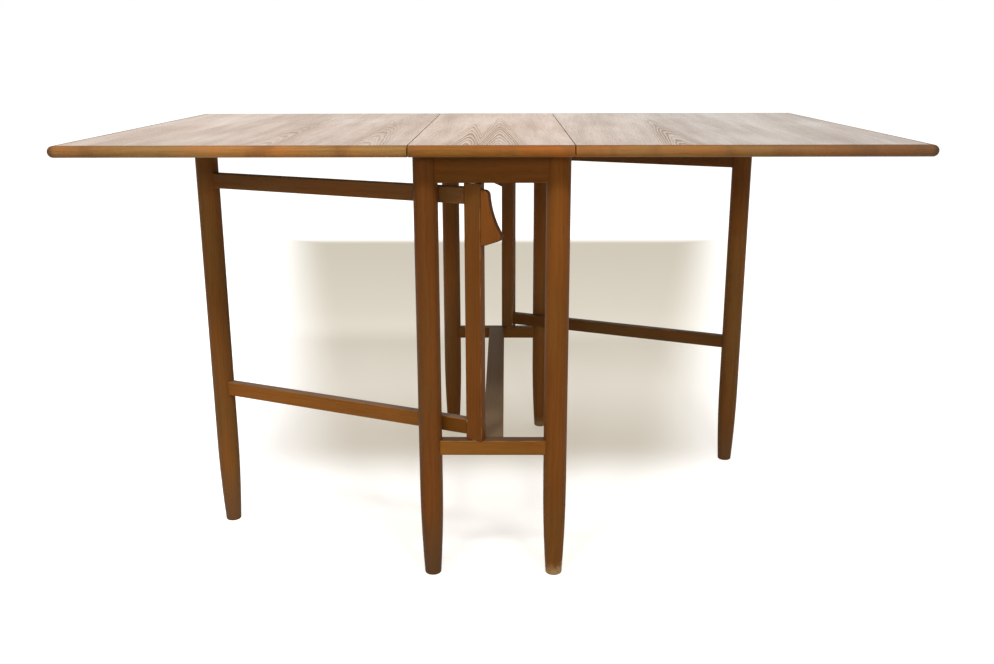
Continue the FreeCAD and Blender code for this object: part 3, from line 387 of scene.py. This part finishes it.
screw_steel = steel("screw_steel", colour=(0.50, 0.46, 0.38), roughness=0.35)
SHARP_EDGE = radians(35)
SAME_CORNER = 1e-6
SCREW_SIDES = 24
HEAD_CHAMFER = 0.0003
SLOT_PART, SLOT_DEPTH_PART = 0.16, 0.32  # of the head's radius
SLOT_TURN = 0.7  # from each screw to the next, in radians
POINT_LENGTH, POINT_PART = 0.004, 0.12
TOP_SHANK = 0.00225


def new_piece(name, mesh_maker, material, body):
    """Finished mesh as a piece that rides on a body and takes its finish from a slot."""
    mesh = bpy.data.meshes.new(name)
    mesh_maker.to_mesh(mesh)
    mesh_maker.free()
    mesh.materials.append(material)
    mesh.shade_smooth()
    mesh.set_sharp_from_angle(angle=SHARP_EDGE)
    piece = bpy.data.objects.new(name, mesh)
    bpy.context.collection.objects.link(piece)
    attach(piece, body)
    return piece


def screw_places(node):
    """Lowest and highest corner of each screw in a CAD node."""
    loose = bmesh.new()
    loose.from_mesh(nodes[node].data)
    bmesh.ops.remove_doubles(loose, verts=loose.verts, dist=SAME_CORNER)
    found, seen = [], set()
    for start in loose.verts:
        if start in seen:
            continue
        screw, front = {start}, [start]
        while front:
            vert = front.pop()
            for edge in vert.link_edges:
                other = edge.other_vert(vert)
                if other not in screw:
                    screw.add(other)
                    front.append(other)
        seen |= screw
        corners = [
            Vector([pick(vert.co[axis] for vert in screw) for axis in range(3)]) for pick in (min, max)
        ]
        found.append(corners)
    loose.free()
    return found


def slotted_screws(node, body, shank_radius):
    """Wood screws with a countersunk head, a slot across it and a pointed end, driven upwards."""
    group = bmesh.new()
    for count, (low, high) in enumerate(screw_places(node)):
        head_radius = (high.x - low.x) / 2
        face_radius = head_radius - HEAD_CHAMFER
        bm = bmesh.new()
        bmesh.ops.create_circle(bm, cap_ends=True, segments=SCREW_SIDES, radius=face_radius)
        for side in (-1, 1):
            bmesh.ops.bisect_plane(
                bm, geom=bm.faces[:] + bm.edges[:] + bm.verts[:],
                plane_co=(side * SLOT_PART * head_radius, 0, 0), plane_no=(1, 0, 0),
            )
        rim = [edge for edge in bm.edges if edge.is_boundary]
        slot_face = min(bm.faces, key=lambda face: face.calc_center_median().length)
        sunk = bmesh.ops.extrude_face_region(bm, geom=[slot_face])["geom"]
        bmesh.ops.translate(
            bm, verts=[v for v in sunk if isinstance(v, bmesh.types.BMVert)],
            vec=(0, 0, SLOT_DEPTH_PART * head_radius),
        )
        bmesh.ops.delete(bm, geom=[slot_face], context="FACES_ONLY")
        length = high.z - low.z
        stages = (
            (head_radius / face_radius, HEAD_CHAMFER),
            (shank_radius / head_radius, head_radius - shank_radius - HEAD_CHAMFER),
            (1.0, length - POINT_LENGTH - head_radius + shank_radius),
            (POINT_PART, POINT_LENGTH),
        )
        for narrowing, rise in stages:
            grown = bmesh.ops.extrude_edge_only(bm, edges=rim)["geom"]
            rim = [e for e in grown if isinstance(e, bmesh.types.BMEdge) and e.is_boundary]
            ring = [v for v in grown if isinstance(v, bmesh.types.BMVert)]
            bmesh.ops.scale(bm, verts=ring, vec=(narrowing, narrowing, 1.0))
            bmesh.ops.translate(bm, verts=ring, vec=(0, 0, rise))
        bmesh.ops.contextual_create(bm, geom=rim)
        bmesh.ops.recalc_face_normals(bm, faces=bm.faces)
        middle = Vector(((low.x + high.x) / 2, (low.y + high.y) / 2, low.z))
        driven = Matrix.Translation(middle) @ Matrix.Rotation(SLOT_TURN * count, 4, "Z")
        bmesh.ops.transform(bm, matrix=driven, verts=bm.verts)
        part = bpy.data.meshes.new("screw")
        bm.to_mesh(part)
        bm.free()
        group.from_mesh(part)
        bpy.data.meshes.remove(part)
    piece = new_piece(f"{node}_slotted", group, screw_steel, body)
    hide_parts(node)


slotted_screws("top_fixing_screws", "frame", TOP_SHANK)

# Gate pivots: steel pins let into the end rails and cross stretchers, on which the gate posts turn.
# A steel washer on each pin keeps the end of the post from rubbing.

hinge_steel = steel("hinge_steel", colour=(0.45, 0.43, 0.40), roughness=0.3)
paint(hinge_steel, "gate_pivot_pins", "gate_washers")

# Gates: a post on the pivot pins, two rails and a round leg of stained wood, glued up as one frame.
# Each swings out under its leaf. The edge of the post is chipped where the lower rail enters it,
# and the inner end of the left lower rail carries painted shade, where the end frame shades it.

GATE_ANGLE = radians(23.7)
gate_run = Matrix.Rotation(-GATE_ANGLE, 3, "Z") @ SIDE_TO_SIDE
gate_face = gate_run.cross(UP)
gate_edges = rubbed_edges((gate_run, gate_face, UP))
CHIPS = ((-0.0437, -0.3562, 0.273), (0.0369, 0.3406, 0.250))
CHIP_REACH, CHIP_WEAR = 0.0035, 0.9
CHIPPED_WOOD = (0.45, 0.33, 0.2)
RAIL_END_STRETCH, RAIL_END_SHADE_AMOUNT = (0.02, 0.055), 0.75
PAINTED_RAIL_END_SHADE = (0.086, 0.028, 0.0024)
LEFT_RAIL_UPPER_GREY = (0.16, 0.112, 0.078)
UPPER_RAIL_TOP_SHADE, UPPER_RAIL_RUBBED = (0.03, 0.02, 0.012), (0.17, 0.075, 0.022)
GRUBBY_GATE_FOOT = (0.115, 0.056, 0.023)


def chipped(tree, place):
    """Mask of the ragged chips in the edges of the two posts."""
    ragged = maths(tree, "MULTIPLY", noise(tree, place, 400.0), CHIP_REACH)
    mask = None
    for chip in CHIPS:
        away = vector_maths(tree, "LENGTH", vector_maths(tree, "SUBTRACT", place, chip))
        away = maths(tree, "ADD", away, ragged)
        spot = spread(tree, away, 0.9 * CHIP_REACH, 1.3 * CHIP_REACH, CHIP_WEAR, 0.0)
        mask = spot if mask is None else maths(tree, "MAXIMUM", mask, spot)
    return mask


def shaded_rail_end(tree, place):
    """Mask of the inner end of the left lower rail, where shade is painted."""
    along = vector_maths(tree, "DOT_PRODUCT", place, gate_run)
    return spread(tree, along, *RAIL_END_STRETCH, 0.0, RAIL_END_SHADE_AMOUNT)


left_lower_rail_wood = wood(
    "left_lower_rail_wood", gate_run, pith=(0.2, 0.4, 1.2),
    pale=(0.225, 0.089, 0.0165), dark=(0.125, 0.046, 0.008),
)
# Painted shade: the right lower rail, at the rear under the top, is given a darker wood than the left one.
right_lower_rail_wood_painted_shade = wood(
    "right_lower_rail_wood_painted_shade", gate_run, pith=(0.2, 0.4, 1.2),
    pale=(0.115, 0.048, 0.0115), dark=(0.066, 0.026, 0.006),
)
weather(left_lower_rail_wood, shaded_rail_end, PAINTED_RAIL_END_SHADE)
weather(left_lower_rail_wood, upper_face, LEFT_RAIL_UPPER_GREY)
weather(right_lower_rail_wood_painted_shade, upper_face, UPPER_FACE_DARK_GREY)
left_post_wood = wood(
    "left_post_wood", UP, pith=(0.5, -0.4, 0), pale=(0.147, 0.052, 0.0095), dark=(0.08, 0.0265, 0.0047),
)
right_post_wood = wood(
    "right_post_wood", UP, pith=(0.5, -0.4, 0), pale=(0.205, 0.085, 0.022), dark=(0.115, 0.044, 0.011),
)
for gate_wood in (left_lower_rail_wood, right_lower_rail_wood_painted_shade, left_post_wood, right_post_wood):
    weather(gate_wood, gate_edges, RUBBED_WOOD)
for post_wood in (left_post_wood, right_post_wood):
    weather(post_wood, chipped, CHIPPED_WOOD)
# Painted shade: the upper rails' wood is darker where the leaves shade it, and their upper faces darker
# still.
upper_rail_wood_painted_shade = wood(
    "upper_rail_wood_painted_shade", gate_run, pith=(0.2, 0.4, 0.2),
    pale=(0.16, 0.065, 0.018), dark=(0.092, 0.035, 0.009),
)
weather(upper_rail_wood_painted_shade, upper_face, UPPER_RAIL_TOP_SHADE)
weather(upper_rail_wood_painted_shade, gate_edges, UPPER_RAIL_RUBBED)
gate_leg_wood = wood(
    "gate_leg_wood", UP, pith=(0.6, 0.75, 0), pale=(0.18, 0.072, 0.0155), dark=(0.1, 0.037, 0.0075),
)
weather(gate_leg_wood, grubby_foot, GRUBBY_GATE_FOOT)
paint(left_lower_rail_wood, "left_gate_lower_rail")
paint(right_lower_rail_wood_painted_shade, "right_gate_lower_rail")
paint(left_post_wood, "left_gate_post")
paint(right_post_wood, "right_gate_post")
paint(upper_rail_wood_painted_shade, "left_gate_upper_rail", "right_gate_upper_rail")
paint(gate_leg_wood, "left_gate_leg", "right_gate_leg")

# Wing-shaped grips of stained wood, sawn with a hollow outer edge and dowelled to the backs of the
# gate posts. Their rounded edges carry painted shade where they turn from the light, and a dark line shows
# along the glue.

EDGE_SHADE_AND_GLUE_WOOD = (0.035, 0.014, 0.005)
HANDLE_JOINT = 0.1311  # from the middle of the table, along the gate
GLUE_LINE, GLUE_SHADE = (0.0006, 0.0016), 0.8
HANDLE_TURNS, HANDLE_SHADE = (0.4, 0.97), 0.75
handle_wood = wood(
    "handle_wood", UP, pith=(0.1, -0.3, 0), pale=(0.175, 0.061, 0.0112), dark=(0.095, 0.032, 0.0055),
)


def shaded_edges_and_glue_line(tree, place):
    """Mask of a grip's rounded edges, where shade is painted, and of the line along its glued joint."""
    square_on = maths(tree, "ABSOLUTE", facing(tree, gate_face))
    along = maths(tree, "ABSOLUTE", vector_maths(tree, "DOT_PRODUCT", place, gate_run))
    from_joint = maths(tree, "SUBTRACT", along, HANDLE_JOINT)
    glue_line = spread(tree, from_joint, *GLUE_LINE, GLUE_SHADE, 0.0)
    edges = spread(tree, square_on, *HANDLE_TURNS, HANDLE_SHADE, 0.0)
    return maths(tree, "MAXIMUM", glue_line, edges)


weather(handle_wood, shaded_edges_and_glue_line, EDGE_SHADE_AND_GLUE_WOOD)
paint(handle_wood, "left_gate_handle", "right_gate_handle")
paint(block_wood, "left_handle_dowels", "right_handle_dowels")

# Top: three boards faced with veneer whose grain runs from front to rear. The veneer also covers
# the solid strips along the joints, whose edges are eased by hand with a plane. On the left leaf
# two matched sheets meet at a seam. The right leaf turns greyer towards its outer end, a painted
# reflection, and all three boards are darker towards the front as painted shade.

VENEER = dict(bands=0.8, flush=0.35, roughness=0.25, specular=0.5)
SLANTED_GRAIN = (0.04, 1, 0)
SEAM_X = -0.265
SEAM_WIDTHS, SEAM_SHADE = (0.0003, 0.0011), 0.65
SEAM_GLUE = (0.06, 0.03, 0.012)
GREY_SHEEN_VENEER = (0.195, 0.142, 0.096)
FRONT_SHADE_VENEER = (0.1, 0.06, 0.032)
centre_veneer = wood(
    "centre_veneer", FRONT_TO_REAR, pith=(0.010, 0, 0.713),
    pale=(0.50, 0.285, 0.135), dark=(0.24, 0.13, 0.058),
    ring=0.0039, taper=0.06, waviness=0.008, heart=0.016, figure=0.65, fork=-0.048, **VENEER,
)
left_veneer = wood(
    "left_veneer", FRONT_TO_REAR, pith=(-0.19, 0, 0.70),
    pale=(0.46, 0.262, 0.123), dark=(0.22, 0.119, 0.053),
    ring=0.0034, taper=0.045, waviness=0.0095, heart=0.027, figure=0.25, mirror_x=SEAM_X, **VENEER,
)
right_veneer = wood(
    "right_veneer", SLANTED_GRAIN, pith=(0.3, 0, 0.705),
    pale=(0.44, 0.272, 0.142), dark=(0.205, 0.12, 0.061),
    ring=0.003, taper=0.04, waviness=0.0095, heart=0.022, figure=0.6, **VENEER,
)


def seam_line(tree, place):
    """Mask of the seam between the two sheets of the left leaf."""
    away = maths(tree, "ABSOLUTE", maths(tree, "SUBTRACT", coordinate(tree, place, "X"), SEAM_X))
    return spread(tree, away, *SEAM_WIDTHS, SEAM_SHADE, 0.0)


def graded(axis, start, stop, at_start, at_stop):
    """Mask that goes from one strength to another between two places along an axis."""
    def mask(tree, place):
        return spread(tree, coordinate(tree, place, axis), start, stop, at_start, at_stop)
    return mask


# Painted reflection on the outer part of the right leaf, and painted shade towards the front of the top.
grey_sheen_outwards = graded("X", start=0.16, stop=0.42, at_start=0.0, at_stop=0.6)
shaded_front = graded("Y", start=-0.4, stop=0.0, at_start=0.22, at_stop=0.0)
weather(left_veneer, seam_line, SEAM_GLUE)
weather(right_veneer, grey_sheen_outwards, GREY_SHEEN_VENEER)
for veneer in (left_veneer, centre_veneer, right_veneer):
    weather(veneer, shaded_front, FRONT_SHADE_VENEER)
paint(centre_veneer, "centre_panel")
paint(left_veneer, "left_leaf_panel")
paint(right_veneer, "right_leaf_panel")

EASING, EASING_STEPS = 0.0008, 3
JOINT_FACES = (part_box("centre_right_lipping")[1].x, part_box("right_leaf_joint_lipping")[0].x)
PANEL_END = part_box("centre_panel")[1].y
SAME_PLACE = 1e-5
FLAT = radians(0.5)


def eased_at_joints(node, body, material):
    """Copy of a strip of the top with its arrises on the joint faces eased. The edge where a strip
    butts against the next one stays sharp, so that no groove opens there."""
    bm = bmesh.new()
    bm.from_mesh(nodes[node].data)
    bmesh.ops.remove_doubles(bm, verts=bm.verts, dist=SAME_CORNER)
    bmesh.ops.dissolve_limit(bm, angle_limit=FLAT, verts=bm.verts, edges=bm.edges)
    ends = [pick(v.co.x for v in bm.verts) for pick in (min, max)]
    joints = [x for x in ends if any(abs(abs(x) - face) < SAME_PLACE for face in JOINT_FACES)]

    def on_joint(edge):
        return any(all(abs(v.co.x - x) < SAME_PLACE for v in edge.verts) for x in joints)

    def against_strip(edge):
        return all(abs(abs(v.co.y) - PANEL_END) < SAME_PLACE for v in edge.verts)

    bmesh.ops.bevel(
        bm, geom=[e for e in bm.edges if on_joint(e) and not against_strip(e)], offset=EASING,
        segments=EASING_STEPS, profile=0.5, affect="EDGES", material=-1,
    )
    piece = new_piece(f"{node}_eased", bm, material, body)
    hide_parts(node)


eased_at_joints("centre_left_lipping", "frame", centre_veneer)
eased_at_joints("centre_right_lipping", "frame", centre_veneer)
eased_at_joints("left_leaf_joint_lipping", "left_leaf", left_veneer)
eased_at_joints("right_leaf_joint_lipping", "right_leaf", right_veneer)

# Solid lippings of a lighter wood, glued on along the outer edges of the top, worked to a half round
# and mitred at the corners. They are mottled with age, and darker along the upper arris and at the
# ends. At the corners, where the half round turns from the light, shade is painted, and the right
# outer lipping's darker wood is painted shade too.

LIPPING = dict(flush=1.8, specular=0.1)
left_lipping = wood(
    "left_lipping", SIDE_TO_SIDE, pith=(0, 0.2, 1.3),
    pale=(0.37, 0.165, 0.046), dark=(0.20, 0.083, 0.019), **LIPPING,
)
centre_lipping = wood(
    "centre_lipping", SIDE_TO_SIDE, pith=(0, 0.6, 1.3),
    pale=(0.29, 0.106, 0.017), dark=(0.156, 0.054, 0.0075), **LIPPING,
)
right_lipping = wood(
    "right_lipping", SIDE_TO_SIDE, pith=(0, 0.9, 1.3),
    pale=(0.31, 0.126, 0.0315), dark=(0.168, 0.065, 0.014), **LIPPING,
)
left_side_lipping = wood(
    "left_side_lipping", FRONT_TO_REAR, pith=(0.3, 0, 1.3),
    pale=(0.27, 0.12, 0.035), dark=(0.145, 0.06, 0.015), **LIPPING,
)
# Painted shade: the right outer lipping is darker than the left one.
right_side_lipping_painted_shade = wood(
    "right_side_lipping_painted_shade", FRONT_TO_REAR, pith=(0.5, 0, 1.3),
    pale=(0.16, 0.075, 0.031), dark=(0.08, 0.036, 0.014), **LIPPING,
)
MOTTLE, MOTTLES, MOTTLE_SHADE = (0.13, 0.055, 0.016), (0.5, 0.66), 0.5
DARK_ARRIS, ARRIS_TURNS, ARRIS_SHADE = (0.1, 0.05, 0.022), (0.8, 0.95), 0.4
DARK_RIGHT_END, DARK_LEFT_END = (0.09, 0.05, 0.025), (0.13, 0.06, 0.02)
RIGHT_CORNER_PAINTED_SHADE, LEFT_CORNER_PAINTED_SHADE = (0.05, 0.028, 0.016), (0.06, 0.034, 0.018)
CORNER, CORNER_SHADE = (0.642, 0.652), 0.8


def mottled(tree, place):
    """Mask of soft patches along a lipping."""
    patches = noise(tree, drawn_out(tree, place, 0.5), 19.0, 2.0)
    return spread(tree, patches, *MOTTLES, 0.0, MOTTLE_SHADE)


def upper_arris(tree, place):
    """Mask of a lipping's upper arris, beside the veneer."""
    return spread(tree, facing(tree, UP), *ARRIS_TURNS, 0.0, ARRIS_SHADE)


def corners(tree, place):
    """Mask of the rounded corners at the two ends of the top, where shade is painted."""
    aside = maths(tree, "ABSOLUTE", coordinate(tree, place, "X"))
    return spread(tree, aside, *CORNER, 0.0, CORNER_SHADE)


right_end = graded("X", start=0.25, stop=0.66, at_start=0.0, at_stop=0.75)
left_end = graded("X", start=-0.6, stop=-0.35, at_start=0.35, at_stop=0.0)
for lipping in (left_lipping, centre_lipping, right_lipping, left_side_lipping, right_side_lipping_painted_shade):
    weather(lipping, mottled, MOTTLE)
    weather(lipping, upper_arris, DARK_ARRIS)
weather(right_lipping, right_end, DARK_RIGHT_END)
weather(left_lipping, left_end, DARK_LEFT_END)
weather(left_lipping, corners, LEFT_CORNER_PAINTED_SHADE)
weather(right_lipping, corners, RIGHT_CORNER_PAINTED_SHADE)
for end in ("front", "rear"):
    eased_at_joints(f"centre_{end}_lipping", "frame", centre_lipping)
    eased_at_joints(f"left_leaf_{end}_lipping", "left_leaf", left_lipping)
    eased_at_joints(f"right_leaf_{end}_lipping", "right_leaf", right_lipping)
paint(left_side_lipping, "left_leaf_outer_lipping")
paint(right_side_lipping_painted_shade, "right_leaf_outer_lipping")

# Back-flap hinges of dulled steel, let in under the joints. Each has a flap on the frame, a flap on
# the leaf and a pin, and is held by slotted screws.

FLAP_SHANK = 0.00175
for side in ("left", "right"):
    for end in ("front", "rear"):
        paint(hinge_steel, f"{side}_{end}_hinge_frame_flap", f"{side}_{end}_hinge_leaf_flap")
    paint(hinge_steel, f"{side}_hinge_pins")
    slotted_screws(f"{side}_leaf_hinge_screws", f"{side}_leaf", FLAP_SHANK)
slotted_screws("frame_hinge_screws", "frame", FLAP_SHANK)

# Stop blocks of plain unstained wood under the leaves, which the gate legs come to rest against.
# Slotted screws hold them up.

STOP_SHANK = 0.00175
for side in ("left", "right"):
    paint(block_wood, f"{side}_stop_block")
    slotted_screws(f"{side}_stop_screws", f"{side}_leaf", STOP_SHANK)

# Pale studio floor, white where it is lit, with the table's shadow on it. Its glow is dimmed under
# and behind the table, as far as the foot of the backdrop, as painted shade, and it can be seen through
# from below.

FLOOR_REACH = 14.0
BACKDROP_FOOT, BACKDROP_EDGE = 2.9, 0.2
MATT_FLOOR = (0.62, 0.61, 0.59, 1.0)
UNDER_TABLE_SHADE, REAR_FLOOR_SHADE, REAR_TURN = (0.375, 0.34, 0.27), (0.2, 0.162, 0.085), (0.5, 1.5)
FRONT_FLOOR, FRONT_TURN = (0.62, 0.61, 0.58), (0.0, 0.25)
FAR_FLOOR = (0.95, 0.95, 0.95)
SHADE_MIDDLE, SHADE_REACH = (0, 1.0, 0), (2.0, 2.6)
SHADE_SIDES, SHADE_WIDENING = (0.25, 0.6), -0.2


def seen_rays(tree):
    """1 for rays on which the background shows: seen straight, mirrored or through glass."""
    path = add_node(tree, "ShaderNodeLightPath", {})
    seen = maths(tree, "MAXIMUM", path.outputs["Is Camera Ray"], path.outputs["Is Glossy Ray"])
    return maths(tree, "MAXIMUM", seen, path.outputs["Is Transmission Ray"])


floor_maker = bmesh.new()
bmesh.ops.create_grid(floor_maker, size=FLOOR_REACH)
floor_mesh = bpy.data.meshes.new("floor")
floor_maker.to_mesh(floor_mesh)
floor_maker.free()
floor = bpy.data.objects.new("floor", floor_mesh)
bpy.context.collection.objects.link(floor)
floor_paint, tree, shader = new_finish("floor_paint")
tree.nodes.remove(shader)
place = place_on_table(tree)
x, y, _ = add_node(tree, "ShaderNodeSeparateXYZ", {0: place}).outputs
# Painted shade: the floor's glow is dimmer under and behind the table.
floor_colour = blend_colours(tree, spread(tree, y, *REAR_TURN), UNDER_TABLE_SHADE, REAR_FLOOR_SHADE)
in_front = spread(tree, y, *FRONT_TURN, 1.0, 0.0)
floor_colour = blend_colours(tree, in_front, floor_colour, FRONT_FLOOR)
away = vector_maths(tree, "LENGTH", vector_maths(tree, "SUBTRACT", place, SHADE_MIDDLE))
aside = maths(tree, "MULTIPLY_ADD", y, SHADE_WIDENING, maths(tree, "ABSOLUTE", x))
backdrop = spread(tree, y, BACKDROP_FOOT - BACKDROP_EDGE, BACKDROP_FOOT)
whiter = maths(tree, "MAXIMUM", spread(tree, away, *SHADE_REACH), backdrop)
whiter = maths(tree, "MAXIMUM", whiter, spread(tree, aside, *SHADE_SIDES))
floor_colour = blend_colours(tree, whiter, floor_colour, FAR_FLOOR)
matt = add_node(tree, "ShaderNodeBsdfDiffuse", {"Color": MATT_FLOOR})
glow = add_node(tree, "ShaderNodeEmission", {"Color": floor_colour, "Strength": seen_rays(tree)})
both = add_node(tree, "ShaderNodeAddShader", {0: matt.outputs[0], 1: glow.outputs[0]})
below = add_node(tree, "ShaderNodeNewGeometry", {}).outputs["Backfacing"]
clear = add_node(tree, "ShaderNodeBsdfTransparent", {})
one_sided = add_node(tree, "ShaderNodeMixShader", {0: below, 1: both.outputs[0], 2: clear.outputs[0]})
tree.links.new(one_sided.outputs[0], tree.nodes["Material Output"].inputs["Surface"])
floor_mesh.materials.append(floor_paint)

# Two soft boxes in front, about 50 degrees up, a low one behind the camera, one overhead and one at
# the rear. Round them stands an even pale room whose rear is white.

LIT_POINT = Vector((0, 0, 0.5))
SOFT_BOXES = (  # name, place, size in metres, power in watts
    ("left_soft_box", (-0.9, -2.1, 3.1), (0.7, 0.5), 46.0),
    ("right_soft_box", (0.9, -2.1, 3.1), (0.7, 0.5), 46.0),
    ("low_soft_box", (0.0, -7.0, 2.7), (2.2, 1.4), 198.0),
    ("ceiling_soft_box", (0.0, 0.2, 3.6), (1.8, 1.4), 26.0),
    ("rear_soft_box", (0.0, 4.2, 2.6), (1.6, 1.0), 25.0),
)
ROOM_LIGHT, ROOM_STRENGTH = (1.0, 0.95, 0.88, 1.0), 0.29
WHITE = (1.0, 1.0, 1.0, 1.0)
REAR_START, FRONT_GREY = (-0.3, 0.4), 0.25
for name, stand, size, power in SOFT_BOXES:
    lamp = bpy.data.lights.new(name, "AREA")
    lamp.shape = "RECTANGLE"
    lamp.size, lamp.size_y = size
    lamp.energy = power
    soft_box = bpy.data.objects.new(name, lamp)
    soft_box.location = stand
    aim = LIT_POINT - soft_box.location
    soft_box.rotation_euler = aim.to_track_quat("-Z", "Y").to_euler()
    soft_box.visible_glossy = name in ("left_soft_box", "right_soft_box")
    bpy.context.collection.objects.link(soft_box)

world = bpy.data.worlds.new("studio")
world.use_nodes = True
bpy.context.scene.world = world
tree = world.node_tree
room = tree.nodes["Background"]
room.inputs["Color"].default_value = ROOM_LIGHT
room.inputs["Strength"].default_value = ROOM_STRENGTH
direction = add_node(tree, "ShaderNodeTexCoord", {}).outputs["Generated"]
rear_white = spread(tree, coordinate(tree, direction, "Y"), *REAR_START, FRONT_GREY, 1.0)
straight = add_node(tree, "ShaderNodeLightPath", {}).outputs["Is Camera Ray"]
brightness = maths(tree, "MAXIMUM", straight, rear_white)
white = add_node(tree, "ShaderNodeBackground", {"Color": WHITE, "Strength": brightness})
either = add_node(
    tree, "ShaderNodeMixShader", {0: seen_rays(tree), 1: room.outputs[0], 2: white.outputs[0]},
)
tree.links.new(either.outputs[0], tree.nodes["World Output"].inputs["Surface"])

# Camera where the photograph was taken from, a little above the top and square to the front end.
# Its place, turns and lens come from a fit to the edges of the table in the photograph.

CAMERA_PLACE = (0.0216, -1.9163, 0.8529)
CAMERA_YAW, CAMERA_PITCH, CAMERA_ROLL = -0.00924, 0.26882, -0.00241
LENS, SENSOR_WIDTH = 36.893, 36.0
camera = bpy.data.objects.new("camera", bpy.data.cameras.new("camera"))
camera.data.lens = LENS
camera.data.sensor_width = SENSOR_WIDTH
camera.matrix_world = (
    Matrix.Translation(CAMERA_PLACE)
    @ Matrix.Rotation(-CAMERA_YAW, 4, "Z")
    @ Matrix.Rotation(pi / 2 - CAMERA_PITCH, 4, "X")
    @ Matrix.Rotation(CAMERA_ROLL, 4, "Z")
)
bpy.context.collection.objects.link(camera)
bpy.context.scene.camera = camera
bpy.context.scene.view_settings.view_transform = "Standard"
